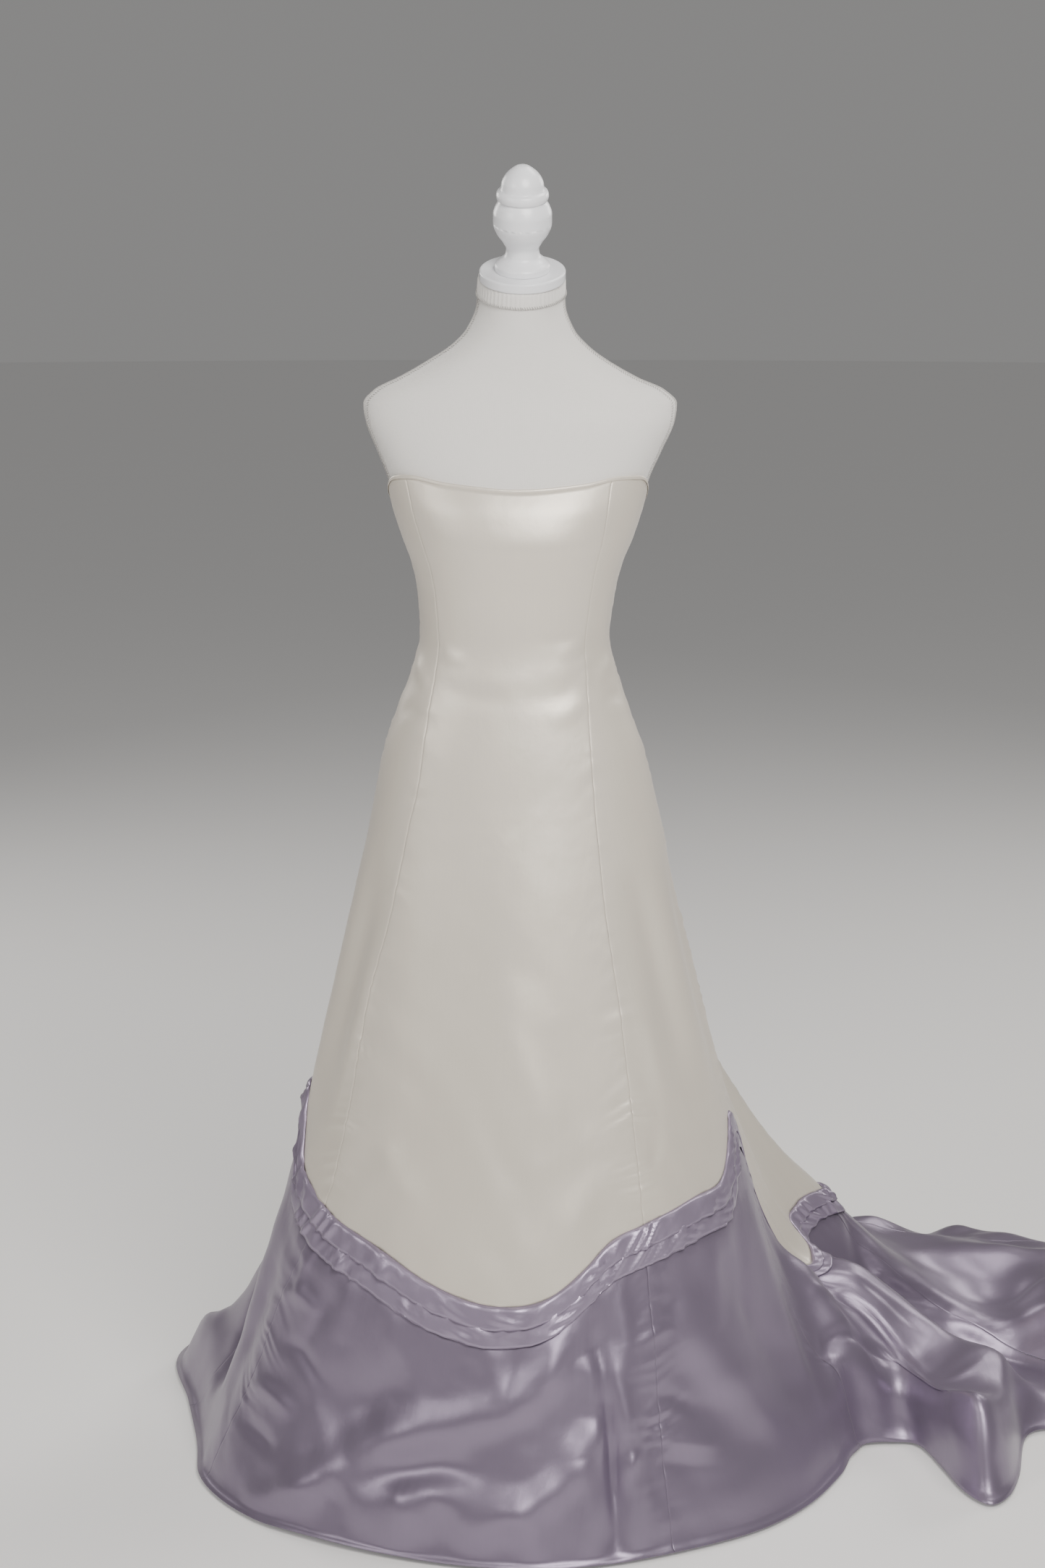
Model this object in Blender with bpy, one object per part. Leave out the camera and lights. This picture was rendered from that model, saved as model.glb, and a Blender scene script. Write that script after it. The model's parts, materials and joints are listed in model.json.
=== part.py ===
"""Strapless princess-line wedding dress with a pleated border and a train, standing on a dress form.

The frame is in metres with +Z up. The front faces -Y, and +X is the viewer's right. The origin is the
middle of the stand's base plate, on the floor.

Every piece of cloth is cut from one surface. A meridian runs from the top edge of the bodice down to
the hem at each azimuth, and a point of the cloth is found by its azimuth and by its share of the way
down. Azimuth 0 is the centre front, 90 is the viewer's right and 180 is the centre back.
"""

import math

import bmesh
import bpy
import numpy as np

# Cloth
WALL = 0.0015
TUCK_WALL = 0.0010
SEAM_GAP = 0.0005
LAYER_GAP = 0.0005
TUCK_WIDTH = 0.030
TUCK_LAP = 0.004

# Dress form
FORM_EASE = 0.0006
HIP_HEIGHT = 0.900
WAIST_HEIGHT = 1.130
FORM_BOTTOM = 0.790
NECK_TILT = math.radians(20.0)
NECK_TOP = (0.0, -0.012, 1.578)
POLE_RADIUS = 0.014
BASE_RADIUS = 0.150
BASE_THICK = 0.014

# Skirt
HANG_POWER = 1.35
HEM_ROUND = 0.030
CLOTH_ON_FLOOR = 0.006

# The figure's rings: height, middle, half width, reach to the front and to the back, and squareness.
FIGURE = [
    ("height", "middle", "half_width", "front", "back", "square"),
    (0.790, -0.009, 0.140, 0.090, 0.098, 2.2),
    (0.830, -0.009, 0.162, 0.104, 0.114, 2.2),
    (0.900, -0.009, 0.171, 0.112, 0.122, 2.2),
    (0.960, -0.011, 0.167, 0.108, 0.117, 2.2),
    (1.030, -0.012, 0.147, 0.098, 0.102, 2.2),
    (1.080, -0.011, 0.130, 0.090, 0.089, 2.2),
    (1.130, -0.010, 0.119, 0.086, 0.081, 2.2),
    (1.180, -0.008, 0.123, 0.092, 0.083, 2.2),
    (1.220, -0.007, 0.131, 0.104, 0.087, 2.2),
    (1.255, -0.006, 0.144, 0.113, 0.092, 2.2),
    (1.290, -0.006, 0.155, 0.108, 0.096, 2.25),
    (1.330, -0.005, 0.165, 0.092, 0.100, 2.3),
    (1.366, -0.004, 0.180, 0.080, 0.102, 2.3),
    (1.403, -0.003, 0.195, 0.070, 0.098, 2.2),
    (1.424, -0.003, 0.198, 0.062, 0.090, 2.0),
    (1.440, -0.004, 0.184, 0.058, 0.083, 1.9),
    (1.455, -0.006, 0.152, 0.056, 0.078, 1.9),
    (1.475, -0.006, 0.116, 0.055, 0.071, 1.9),
    (1.495, -0.004, 0.086, 0.055, 0.065, 1.95),
    (1.515, -0.003, 0.067, 0.056, 0.060, 2.0),
    (1.545, -0.002, 0.055, 0.057, 0.052, 2.0),
    (1.578, -0.001, 0.053, 0.060, 0.046, 2.0),
]

# What the middle of the dress's wall stands off the figure at the side, front and back.
EASE = [
    ("height", "side", "front", "back"),
    (0.900, 0.0140, 0.0060, 0.0060),
    (0.960, 0.0060, 0.0030, 0.0040),
    (1.030, 0.0030, 0.0022, 0.0022),
    (1.130, 0.0018, 0.0016, 0.0016),
    (1.200, 0.0022, 0.0024, 0.0018),
    (1.255, 0.0026, 0.0034, 0.0026),
    (1.300, 0.0030, 0.0032, 0.0028),
    (1.340, 0.0030, 0.0030, 0.0028),
]

# The bodice's top edge.
NECKLINE = [
    ("azimuth", "height"),
    (-180, 1.262),
    (-140, 1.270),
    (-100, 1.300),
    (-82, 1.318),
    (-62, 1.334),
    (-50, 1.336),
    (-30, 1.328),
    (0, 1.321),
    (28, 1.327),
    (46, 1.335),
    (60, 1.334),
    (82, 1.316),
    (100, 1.298),
    (140, 1.270),
]

# Each meridian of the skirt: where it ends on the floor, the point that bends its way there, how far out
# the cloth lands on the floor, how hollow its hang is and how deep the lavender border is, up from the hem.
SKIRT = [
    ("azimuth", "x", "y", "bend_x", "bend_y", "landing", "hollow"),
    (-90, -0.452, 0.040, -0.310, 0.020, 0.30, 1.35),
    (-75, -0.428, -0.100, -0.300, -0.060, 0.30, 1.35),
    (-60, -0.358, -0.205, -0.255, -0.130, 0.30, 1.33),
    (-45, -0.268, -0.268, -0.200, -0.170, 0.30, 1.30),
    (-30, -0.170, -0.314, -0.130, -0.205, 0.30, 1.25),
    (0, 0.034, -0.350, 0.015, -0.235, 0.30, 1.20),
    (30, 0.222, -0.292, 0.150, -0.205, 0.30, 1.25),
    (45, 0.308, -0.242, 0.210, -0.165, 0.30, 1.30),
    (60, 0.376, -0.172, 0.260, -0.115, 0.30, 1.33),
    (75, 0.427, -0.085, 0.295, -0.055, 0.30, 1.35),
    (90, 0.455, -0.015, 0.315, 0.000, 0.30, 1.35),
    (95, 0.474, 0.010, 0.330, 0.030, 0.31, 1.45),
    (99, 0.507, 0.014, 0.375, 0.080, 0.34, 1.70),
    (103, 0.543, 0.004, 0.490, 0.185, 0.37, 1.80),
    (107, 0.565, -0.065, 0.540, 0.265, 0.40, 1.90),
    (111, 0.583, -0.135, 0.570, 0.315, 0.43, 2.00),
    (115, 0.610, -0.174, 0.590, 0.345, 0.46, 2.00),
    (119, 0.640, -0.150, 0.610, 0.370, 0.50, 2.10),
    (123, 0.664, -0.090, 0.630, 0.400, 0.55, 2.10),
    (128, 0.695, 0.030, 0.645, 0.430, 0.61, 2.20),
    (134, 0.755, 0.060, 0.660, 0.470, 0.70, 2.20),
    (142, 0.860, 0.060, 0.680, 0.520, 0.86, 2.30),
    (152, 1.000, 0.140, 0.660, 0.580, 1.00, 2.45),
    (162, 1.060, 0.280, 0.600, 0.630, 1.04, 2.50),
    (174, 1.030, 0.460, 0.470, 0.640, 1.04, 2.50),
    (188, 0.860, 0.620, 0.300, 0.570, 1.05, 2.40),
    (204, 0.540, 0.720, 0.120, 0.500, 0.95, 2.40),
    (220, 0.160, 0.710, -0.020, 0.440, 0.85, 2.40),
    (236, -0.190, 0.620, -0.150, 0.350, 0.75, 2.40),
    (248, -0.410, 0.470, -0.230, 0.250, 0.64, 2.30),
    (257, -0.508, 0.305, -0.270, 0.160, 0.52, 2.10),
    (264, -0.475, 0.150, -0.295, 0.080, 0.36, 1.70),
]

# How deep the lavender border is, up from the hem.
BORDER = [
    ("azimuth", "depth"),
    (-90, 0.560),
    (-82, 0.530),
    (-75, 0.465),
    (-66, 0.435),
    (-56, 0.410),
    (-40, 0.380),
    (-26, 0.345),
    (-10, 0.324),
    (3, 0.335),
    (13, 0.368),
    (20, 0.396),
    (32, 0.416),
    (50, 0.438),
    (66, 0.452),
    (75, 0.490),
    (88, 0.520),
    (97, 0.480),
    (103, 0.470),
    (109, 0.490),
    (115, 0.510),
    (121, 0.540),
    (130, 0.590),
    (142, 0.670),
    (160, 0.760),
    (176, 0.720),
    (204, 0.600),
    (236, 0.540),
    (257, 0.560),
]

# The seams' azimuths down the dress. Level 0 is the top edge, 1 the hip and 2 the hem.
SEAMS = [
    ("level", "front_left", "front_right", "side_left", "side_right", "back_left", "back_right"),
    (0.00, -53, 41, -90, 90, 214, 146),
    (0.40, -51, 46, -90, 90, 211, 149),
    (0.86, -42, 34, -91, 91, 213, 147),
    (1.12, -49, 32, -92, 91, 216, 145),
    (1.25, -55, 33, -92, 91, 218, 144),
    (1.50, -58, 32, -93, 92, 222, 143),
    (1.72, -70, 29, -94, 92, 226, 142),
    (2.00, -75, 25, -95, 93, 230, 142),
]

# Folds that stand out of the hanging cloth: three points on the way of each crest, its width and height.
FOLDS = [
    ("x0", "y0", "z0", "x1", "y1", "z1", "x2", "y2", "z2", "width", "height"),
    (-0.30, -0.28, 0.05, 0.00, -0.30, 0.10, 0.16, -0.26, 0.25, 0.045, 0.010),
]

# Folds of the cloth that lies on the floor: three points of each crest seen from above, width and height.
HEAPS = [
    ("x0", "y0", "x1", "y1", "x2", "y2", "width", "height"),
    (0.400, 0.080, 0.470, 0.000, 0.610, -0.130, 0.045, 0.060),
    (0.500, 0.110, 0.570, 0.050, 0.630, -0.050, 0.100, 0.080),
    (0.480, 0.170, 0.590, 0.140, 0.650, 0.090, 0.065, 0.060),
    (0.560, 0.560, 0.680, 0.500, 0.860, 0.380, 0.080, 0.070),
    (0.700, 0.620, 0.780, 0.570, 0.880, 0.480, 0.070, 0.060),
    (0.780, 0.340, 0.810, 0.260, 0.870, 0.180, 0.050, 0.060),
    (0.400, 0.360, 0.450, 0.420, 0.500, 0.480, 0.080, 0.030),
    (-0.360, 0.150, -0.430, 0.210, -0.470, 0.270, 0.060, 0.060),
]
HEAP_FADE = 0.035
HEM_ROLL = 0.022
ROLL_DEPTH = 0.120

# Gores, by the seams that they lie between, and how many columns each is cut in.
GORES = [
    ("name", "from_seam", "to_seam", "columns"),
    ("centre_front", "front_left", "front_right", 14),
    ("side_front_right", "front_right", "side_right", 8),
    ("side_back_right", "side_right", "back_right", 20),
    ("centre_back_right", "back_right", "centre_back", 12),
    ("centre_back_left", "centre_back", "back_left", 12),
    ("side_back_left", "back_left", "side_left", 10),
    ("side_front_left", "side_left", "front_left", 8),
]
BODICE_LEVELS = (0.0, 0.07, 0.14, 0.21, 0.28, 0.35, 0.44, 0.54, 0.67, 0.83, 1.0)
SKIRT_ROWS = 6
BORDER_ROWS = 9

# The lengths of trim that the two tucks are made in, by the gores that they cross.
TRIM = [
    ("name", "gores"),
    ("front", ("side_front_left", "centre_front", "side_front_right")),
    ("right", ("side_back_right", "centre_back_right")),
    ("left", ("centre_back_left", "side_back_left")),
]

# The turned finial over the neck disk, up its own axis.
FINIAL = [
    ("height", "radius"),
    (0.0000, 0.0350),
    (0.0060, 0.0345),
    (0.0120, 0.0290),
    (0.0190, 0.0220),
    (0.0270, 0.0205),
    (0.0360, 0.0245),
    (0.0480, 0.0325),
    (0.0600, 0.0365),
    (0.0720, 0.0365),
    (0.0820, 0.0335),
    (0.0880, 0.0300),
    (0.0895, 0.0295),
    (0.0910, 0.0315),
    (0.0960, 0.0325),
    (0.1010, 0.0310),
    (0.1035, 0.0275),
    (0.1130, 0.0255),
    (0.1220, 0.0205),
    (0.1290, 0.0130),
    (0.1330, 0.0060),
]

def column(table, name):
    """One named column of a table."""
    return np.array([row[table[0].index(name)] for row in table[1:]], float)


def smooth(xs, ys, at, period=None):
    """A curve through a table's points with no overshoot: cubic pieces whose slopes are held in."""
    at = np.asarray(at, float)
    if period:
        at = (at - xs[0]) % period + xs[0]
        xs = np.concatenate([xs[-3:] - period, xs, xs[:3] + period])
        ys = np.concatenate([ys[-3:], ys, ys[:3]])
    step = np.diff(xs)
    slope = np.diff(ys) / step
    turning = slope[:-1] * slope[1:] <= 0
    mean = 2 * slope[:-1] * slope[1:] / np.where(turning, 1.0, slope[:-1] + slope[1:])
    tangent = np.concatenate([slope[:1], np.where(turning, 0.0, mean), slope[-1:]])
    at = np.clip(at, xs[0], xs[-1])
    i = np.clip(np.searchsorted(xs, at, side="right") - 1, 0, len(step) - 1)
    h = step[i]
    t = (at - xs[i]) / h
    start = (1 + 2 * t) * (1 - t) ** 2 * ys[i] + t * (1 - t) ** 2 * h * tangent[i]
    end = t * t * (3 - 2 * t) * ys[i + 1] + t * t * (t - 1) * h * tangent[i + 1]
    return start + end


def rounded(xs, ys, at, period):
    """A closed curve through a table's points, with each slope taken from the points on both sides."""
    at = (np.asarray(at, float) - xs[0]) % period + xs[0]
    xs = np.concatenate([xs[-3:] - period, xs, xs[:3] + period])
    ys = np.concatenate([ys[-3:], ys, ys[:3]])
    step = np.diff(xs)
    slope = np.diff(ys) / step
    inner = (slope[:-1] * step[1:] + slope[1:] * step[:-1]) / (step[:-1] + step[1:])
    tangent = np.concatenate([slope[:1], inner, slope[-1:]])
    i = np.clip(np.searchsorted(xs, at, side="right") - 1, 0, len(step) - 1)
    h = step[i]
    t = (at - xs[i]) / h
    start = (1 + 2 * t) * (1 - t) ** 2 * ys[i] + t * (1 - t) ** 2 * h * tangent[i]
    end = t * t * (3 - 2 * t) * ys[i + 1] + t * t * (t - 1) * h * tangent[i + 1]
    return start + end


def read(table, name, at):
    """The named column of a table, read at any value of its first column."""
    return smooth(column(table, table[0][0]), column(table, name), at)


def around(table, name, azimuth):
    """The named column of a table that goes all round the dress."""
    return rounded(column(table, "azimuth"), column(table, name), azimuth, 360.0)


def figure(azimuth, height, side=0.0, front=0.0, back=0.0):
    """A point of the figure's ring at a height, with the ring made larger by the given ease."""
    angle = np.radians(azimuth)
    s, c = np.sin(angle), np.cos(angle)
    square = read(FIGURE, "square", height)
    scale = (np.abs(s) ** square + np.abs(c) ** square) ** (-1 / square)
    half = read(FIGURE, "half_width", height) + side
    deep = np.where(c > 0, read(FIGURE, "front", height) + front, read(FIGURE, "back", height) + back)
    x = read(FIGURE, "middle", height) + half * s * scale
    return np.stack([x, -deep * c * scale, height + 0 * x], axis=-1)


def bodice(azimuth, share):
    """A point of the dress from the top edge (share 0) to the hip line (share 1)."""
    top = smooth(*neckline_curve(), (azimuth + 180) % 360 - 180)
    height = top + (HIP_HEIGHT - top) * share
    ease = [read(EASE, name, height) for name in ("side", "front", "back")]
    return figure(azimuth, height, *ease)


def neckline_curve():
    """The neckline's table with its first row added again at the other side of the centre back."""
    azimuth = column(NECKLINE, "azimuth")
    height = column(NECKLINE, "height")
    return np.append(azimuth, azimuth[0] + 360), np.append(height, height[0])


def meridian(azimuth, steps=40):
    """The skirt's meridians, each sampled from the hip to the hem. Returns the points and the lengths."""
    azimuth = np.asarray(azimuth, float)
    hip = bodice(azimuth, 1.0)
    share = np.linspace(0, 1, steps + 1)[:, None]
    plan = []
    for axis, name in enumerate("xy"):
        bend = around(SKIRT, "bend_" + name, azimuth)
        end = around(SKIRT, name, azimuth)
        plan.append((1 - share) ** 2 * hip[:, axis] + 2 * share * (1 - share) * bend + share**2 * end)
    stride = np.hypot(np.diff(plan[0], axis=0), np.diff(plan[1], axis=0))
    way = np.concatenate([np.zeros((1, len(azimuth))), np.cumsum(stride, axis=0)])
    landing = np.minimum(around(SKIRT, "landing", azimuth), 0.98 * way[-1])
    hollow = around(SKIRT, "hollow", azimuth)
    drop = np.clip(1 - way / landing, 0, 1) ** hollow
    height = CLOTH_ON_FLOOR + (HIP_HEIGHT - CLOTH_ON_FLOOR) * drop
    points = np.stack([plan[0], plan[1], height], axis=-1)
    steps_3d = np.linalg.norm(np.diff(points, axis=0), axis=2)
    length = np.concatenate([np.zeros((1, len(azimuth))), np.cumsum(steps_3d, axis=0)])
    return points, length


def skirt(azimuth, share):
    """A point of the dress from the hip line (share 0) to the hem (share 1), by length along its meridian."""
    points, length = meridian(azimuth)
    target = share * length[-1]
    i = np.clip((length <= target).sum(axis=0) - 1, 0, len(length) - 2)
    n = np.arange(len(i))
    part = (target - length[i, n]) / (length[i + 1, n] - length[i, n])
    return points[i, n] + part[:, None] * (points[i + 1, n] - points[i, n])


def base(azimuth, level):
    """The dress's surface with no folds."""
    shape = np.shape(azimuth)
    azimuth, level = np.ravel(azimuth), np.ravel(level)
    upper = bodice(azimuth, np.clip(level, 0, 1))
    lower = skirt(azimuth, np.clip(level - 1, 0, 1))
    return np.where(level[:, None] < 1, upper, lower).reshape(*shape, 3)


def crest_distance(points, fold, axes):
    """How near each point comes to a fold's crest, a curve through three points."""
    ends = [np.array([fold[axis + str(k)] for axis in axes]) for k in range(3)]
    middle = 2 * ends[1] - (ends[0] + ends[2]) / 2
    near = np.full(points.shape[:-1], np.inf)
    for t in np.linspace(0, 1, 25):
        crest = (1 - t) ** 2 * ends[0] + 2 * t * (1 - t) * middle + t * t * ends[2]
        near = np.minimum(near, ((points[..., : len(axes)] - crest) ** 2).sum(axis=-1))
    return np.sqrt(near)


def folds(points):
    """How far each point of the hanging cloth is moved out by the folds."""
    out = np.zeros(points.shape[:-1])
    for row in FOLDS[1:]:
        fold = dict(zip(FOLDS[0], row))
        out = out + fold["height"] * np.exp(-((crest_distance(points, fold, "xyz") / fold["width"]) ** 2))
    return out


def heaps(points, level):
    """How far each point near the floor is lifted by the folds that lie there. The hem stays down."""
    lift = np.zeros(points.shape[:-1])
    for row in HEAPS[1:]:
        fold = dict(zip(HEAPS[0], row))
        lift = lift + fold["height"] * np.exp(-((crest_distance(points, fold, "xy") / fold["width"]) ** 2))
    low = np.exp(-((points[..., 2] / 0.34) ** 4))
    roll = HEM_ROLL * np.exp(-(((2 - level) / ROLL_DEPTH) ** 2))
    return (lift * low + roll) * (1 - np.exp(-(((2 - level) / HEAP_FADE) ** 2)))


def normal(function, azimuth, level):
    """The direction out of a surface at a point, from the points close by."""
    across = function(azimuth + 0.25, level) - function(azimuth - 0.25, level)
    low = np.clip(level + 0.004, 0.008, 2.0)
    down = function(azimuth, low) - function(azimuth, low - 0.008)
    out = np.cross(down, across)
    return out / np.linalg.norm(out, axis=-1, keepdims=True)


def surface(azimuth, level):
    """The dress's surface with its folds."""
    points = base(azimuth, level)
    moved = points + folds(points)[..., None] * normal(base, azimuth, level)
    moved[..., 2] += heaps(points, level)
    return moved


def border_level(azimuth):
    """The level of the scalloped seam between the ivory and the lavender."""
    return 2 - around(BORDER, "depth", azimuth) / meridian(azimuth)[1][-1]


def seam(name, level):
    """A seam's azimuth at a level. The centre back is at 180."""
    return 180.0 + 0 * level if name == "centre_back" else read(SEAMS, name, level)


def per_degree(azimuth, level):
    """How far apart two meridians a degree apart are, square to them."""
    low = np.clip(level + 0.004, 0.008, 2.0)
    down = surface(azimuth, low) - surface(azimuth, low - 0.008)
    down = down / np.linalg.norm(down, axis=-1, keepdims=True)
    across = (surface(azimuth + 0.2, level) - surface(azimuth - 0.2, level)) / 0.4
    square = across - (across * down).sum(axis=-1, keepdims=True) * down
    return np.linalg.norm(square, axis=-1)


def gore_azimuth(gore, share, level):
    """The azimuth of a point of a gore: share 0 and 1 are its two seams, less half of the seam gap."""
    start = seam(gore["from_seam"], level)
    end = seam(gore["to_seam"], level)
    start = np.where(end < start, start - 360, start)
    start = start + 0.5 * SEAM_GAP / np.maximum(per_degree(start, level), 0.0005)
    end = end - 0.5 * SEAM_GAP / np.maximum(per_degree(end, level), 0.0005)
    return start + share * (end - start)


def gore_grid(gore, levels):
    """A gore's points and the directions out of them. Levels are rows by columns."""
    share = np.linspace(0, 1, gore["columns"] + 1) * np.ones_like(levels)
    azimuth = gore_azimuth(gore, share, levels)
    return surface(azimuth, levels), normal(surface, azimuth, levels)


def seam_levels(gore):
    """The level of the scalloped seam at each of a gore's columns."""
    share = np.linspace(0, 1, gore["columns"] + 1)
    level = np.full(len(share), 1.6)
    for _ in range(6):
        level = border_level(gore_azimuth(gore, share, level))
    return level


def meridian_length(gore, levels):
    """The length of the skirt's meridians at a gore's columns."""
    share = np.linspace(0, 1, gore["columns"] + 1)
    return meridian(gore_azimuth(gore, share, levels))[1][-1]


def seam_room(gore, seam_row):
    """Half of the gap at the scalloped seam as a level, so that the gap is as wide square to the seam."""
    share = np.linspace(0, 1, gore["columns"] + 1)
    azimuth = gore_azimuth(gore, share, seam_row)
    line = surface(azimuth, seam_row)
    along = np.gradient(line, axis=0)
    down = surface(azimuth, seam_row + 0.002) - surface(azimuth, seam_row - 0.002)
    square = np.linalg.norm(np.cross(along, down), axis=-1) / np.linalg.norm(along, axis=-1)
    return 0.5 * SEAM_GAP * 0.004 / square


def ivory_levels(gore):
    """The rows of a gore's upper piece, from the top edge to the scalloped seam."""
    seam_row = seam_levels(gore)
    low = seam_row - seam_room(gore, seam_row)
    rows = [np.full(len(low), level) for level in BODICE_LEVELS]
    for k in range(1, SKIRT_ROWS + 1):
        rows.append(1 + (low - 1) * k / SKIRT_ROWS)
    return np.array(rows)


def lavender_levels(gore):
    """The rows of a gore's border: the scalloped seam, each tuck's lower edge, then even rows to the hem."""
    seam_row = seam_levels(gore)
    length = meridian_length(gore, seam_row)
    top = seam_row + seam_room(gore, seam_row)
    rows = [top, top + TUCK_WIDTH / length, top + 2 * (TUCK_WIDTH - TUCK_LAP) / length]
    for k in range(1, BORDER_ROWS + 1):
        share = 1 - (1 - k / BORDER_ROWS) ** 1.25
        rows.append(rows[2] + (2 - rows[2]) * share)
    return np.array(rows)


def mesh_object(name, points, faces, material):
    """An object from points and faces, with its faces turned outwards."""
    mesh = bpy.data.meshes.new(name)
    mesh.from_pydata([tuple(p) for p in points], [], [tuple(f) for f in faces])
    work = bmesh.new()
    work.from_mesh(mesh)
    bmesh.ops.recalc_face_normals(work, faces=work.faces)
    if work.calc_volume(signed=True) < 0:
        bmesh.ops.reverse_faces(work, faces=work.faces)
    work.to_mesh(mesh)
    work.free()
    mesh.materials.append(material)
    made = bpy.data.objects.new(name, mesh)
    bpy.context.collection.objects.link(made)
    return made


def sheet(name, points, out, low, high, material, ring=False):
    """A closed sheet of cloth between two distances out of a grid of points."""
    rows, columns = points.shape[:2]
    both = np.concatenate([(points + low * out).reshape(-1, 3), (points + high * out).reshape(-1, 3)])
    index = np.arange(rows * columns).reshape(rows, columns)
    if ring:
        index = np.concatenate([index, index[:, :1]], axis=1)
    a, b, c, d = index[:-1, :-1], index[:-1, 1:], index[1:, 1:], index[1:, :-1]
    front = np.concatenate([np.stack([a, b, c], -1).reshape(-1, 3), np.stack([a, c, d], -1).reshape(-1, 3)])
    edge = [index[0, ::-1], index[-1, :]]
    if not ring:
        edge += [index[:, 0], index[::-1, -1]]
    faces = [tuple(f) for f in front] + [tuple(f[::-1] + rows * columns) for f in front]
    for line in edge:
        for start, end in zip(line[:-1], line[1:]):
            faces.append((start, end, end + rows * columns))
            faces.append((start, end + rows * columns, start + rows * columns))
    return mesh_object(name, both, faces, material)


def lathe(name, profile, material, place=None, sides=40):
    """A turned solid from rows of height and radius. Its two ends are flat."""
    points = []
    for height, radius in profile:
        for k in range(sides):
            turn = 2 * math.pi * k / sides
            point = np.array([radius * math.cos(turn), radius * math.sin(turn), height])
            points.append(place(point) if place else point)
    faces = []
    for r in range(len(profile) - 1):
        for k in range(sides):
            n = (k + 1) % sides
            faces.append((r * sides + k, r * sides + n, (r + 1) * sides + n, (r + 1) * sides + k))
    faces.append(tuple(range(sides))[::-1])
    last = (len(profile) - 1) * sides
    faces.append(tuple(range(last, last + sides)))
    return mesh_object(name, points, faces, material)


def on_neck(point):
    """Moves a point of the finial's own frame to the tilted top of the neck."""
    x, y, z = point
    c, s = math.cos(NECK_TILT), math.sin(NECK_TILT)
    return np.array([x + NECK_TOP[0], NECK_TOP[1] + y * c - z * s, NECK_TOP[2] + y * s + z * c])


def neck_shear(points):
    """Leans the rings of the neck forward until the top one is square to the finial."""
    share = np.clip((points[..., 2] - 1.470) / (NECK_TOP[2] - 1.470), 0, 1)
    share = share * share * (3 - 2 * share)
    moved = points.copy()
    moved[..., 2] += share * math.tan(NECK_TILT) * (points[..., 1] - NECK_TOP[1])
    return moved


def form_rings(heights, ease=0.0, sides=44):
    """Rings of the form's body at the given heights."""
    azimuth = np.arange(sides) * 360.0 / sides
    rings = []
    for height in heights:
        rings.append(figure(azimuth, np.full(sides, height), ease, ease, ease))
    return neck_shear(np.array(rings))


def form_heights():
    """The heights of the body's rings, closer where the body curves."""
    low = np.linspace(FORM_BOTTOM, 1.400, 21)
    shoulder = np.linspace(1.400, 1.500, 9)
    neck = np.linspace(1.500, NECK_TOP[2], 4)
    return np.concatenate([low, shoulder[1:], neck[1:]])


def dress_form(jersey, wood, metal):
    """The body, its knit neck band, the turned neck disk and finial, the pole and the base."""
    rings = form_rings(form_heights())
    rows, sides = rings.shape[:2]
    faces = []
    for r in range(rows - 1):
        for k in range(sides):
            n = (k + 1) % sides
            faces.append((r * sides + k, r * sides + n, (r + 1) * sides + n, (r + 1) * sides + k))
    faces.append(tuple(range(sides))[::-1])
    faces.append(tuple(range((rows - 1) * sides, rows * sides)))
    mesh_object("form_body", rings.reshape(-1, 3), faces, jersey)
    band = form_rings(np.linspace(1.556, 1.577, 3), 0.0, 44)
    centre = band.mean(axis=1, keepdims=True)
    out = band - centre
    out[..., 2] = 0
    out = out / np.linalg.norm(out, axis=-1, keepdims=True)
    sheet("form_neck_band", band, out, 0.0005, 0.0016, jersey, ring=True)
    disk = [(0.0003, 0.052), (0.002, 0.0540), (0.011, 0.0540), (0.013, 0.052)]
    lathe("form_neck_disk", disk, wood, on_neck, 40)
    rows = [(height + 0.0133, radius) for height, radius in FINIAL[1:]]
    lathe("form_finial", rows, wood, on_neck, 24)
    pole = [(BASE_THICK + 0.0003, POLE_RADIUS), (FORM_BOTTOM - 0.0003, POLE_RADIUS)]
    lathe("form_pole", pole, metal, None, 24)
    plate = [
        (0.0, BASE_RADIUS - 0.002),
        (0.002, BASE_RADIUS),
        (BASE_THICK - 0.004, BASE_RADIUS),
        (BASE_THICK, BASE_RADIUS - 0.006),
    ]
    lathe("form_base", plate, metal, None, 32)


def gores():
    """The gores as dictionaries."""
    return [dict(zip(GORES[0], row)) for row in GORES[1:]]


def panels(ivory, lavender):
    """Each gore's ivory piece and its lavender border piece."""
    for gore in gores():
        points, out = gore_grid(gore, ivory_levels(gore))
        sheet("ivory_" + gore["name"], points, out, -WALL / 2, WALL / 2, ivory)
        points, out = gore_grid(gore, lavender_levels(gore))
        sheet("border_" + gore["name"], points, out, -WALL / 2, WALL / 2, lavender)


def tucks(lavender):
    """The two tucks at the head of the border, the upper one lapping the lower one."""
    under = WALL / 2 + LAYER_GAP
    over = under + TUCK_WALL + LAYER_GAP
    by_name = {gore["name"]: gore for gore in gores()}
    for name, crossed in TRIM[1:]:
        grids = [gore_grid(by_name[key], lavender_levels(by_name[key])[:3]) for key in crossed]
        points = np.concatenate([grid[0] for grid in grids], axis=1)
        out = np.concatenate([grid[1] for grid in grids], axis=1)
        sheet("lower_tuck_" + name, points, out, under, under + TUCK_WALL, lavender)
        sheet("upper_tuck_" + name, points[:2], out[:2], over, over + TUCK_WALL, lavender)


def neck_binding(ivory):
    """The narrow bound edge on top of the bodice, all the way round."""
    azimuth = np.linspace(-180, 180, 61)[:-1]
    level = np.zeros(len(azimuth))
    points = surface(azimuth, level)
    out = normal(surface, azimuth, level + 0.004)
    rows = [points + np.array([0, 0, height]) for height in (0.0009, 0.0038)]
    sheet("neck_binding", np.array(rows), np.array([out, out]), -0.0007, 0.0017, ivory, ring=True)


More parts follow.
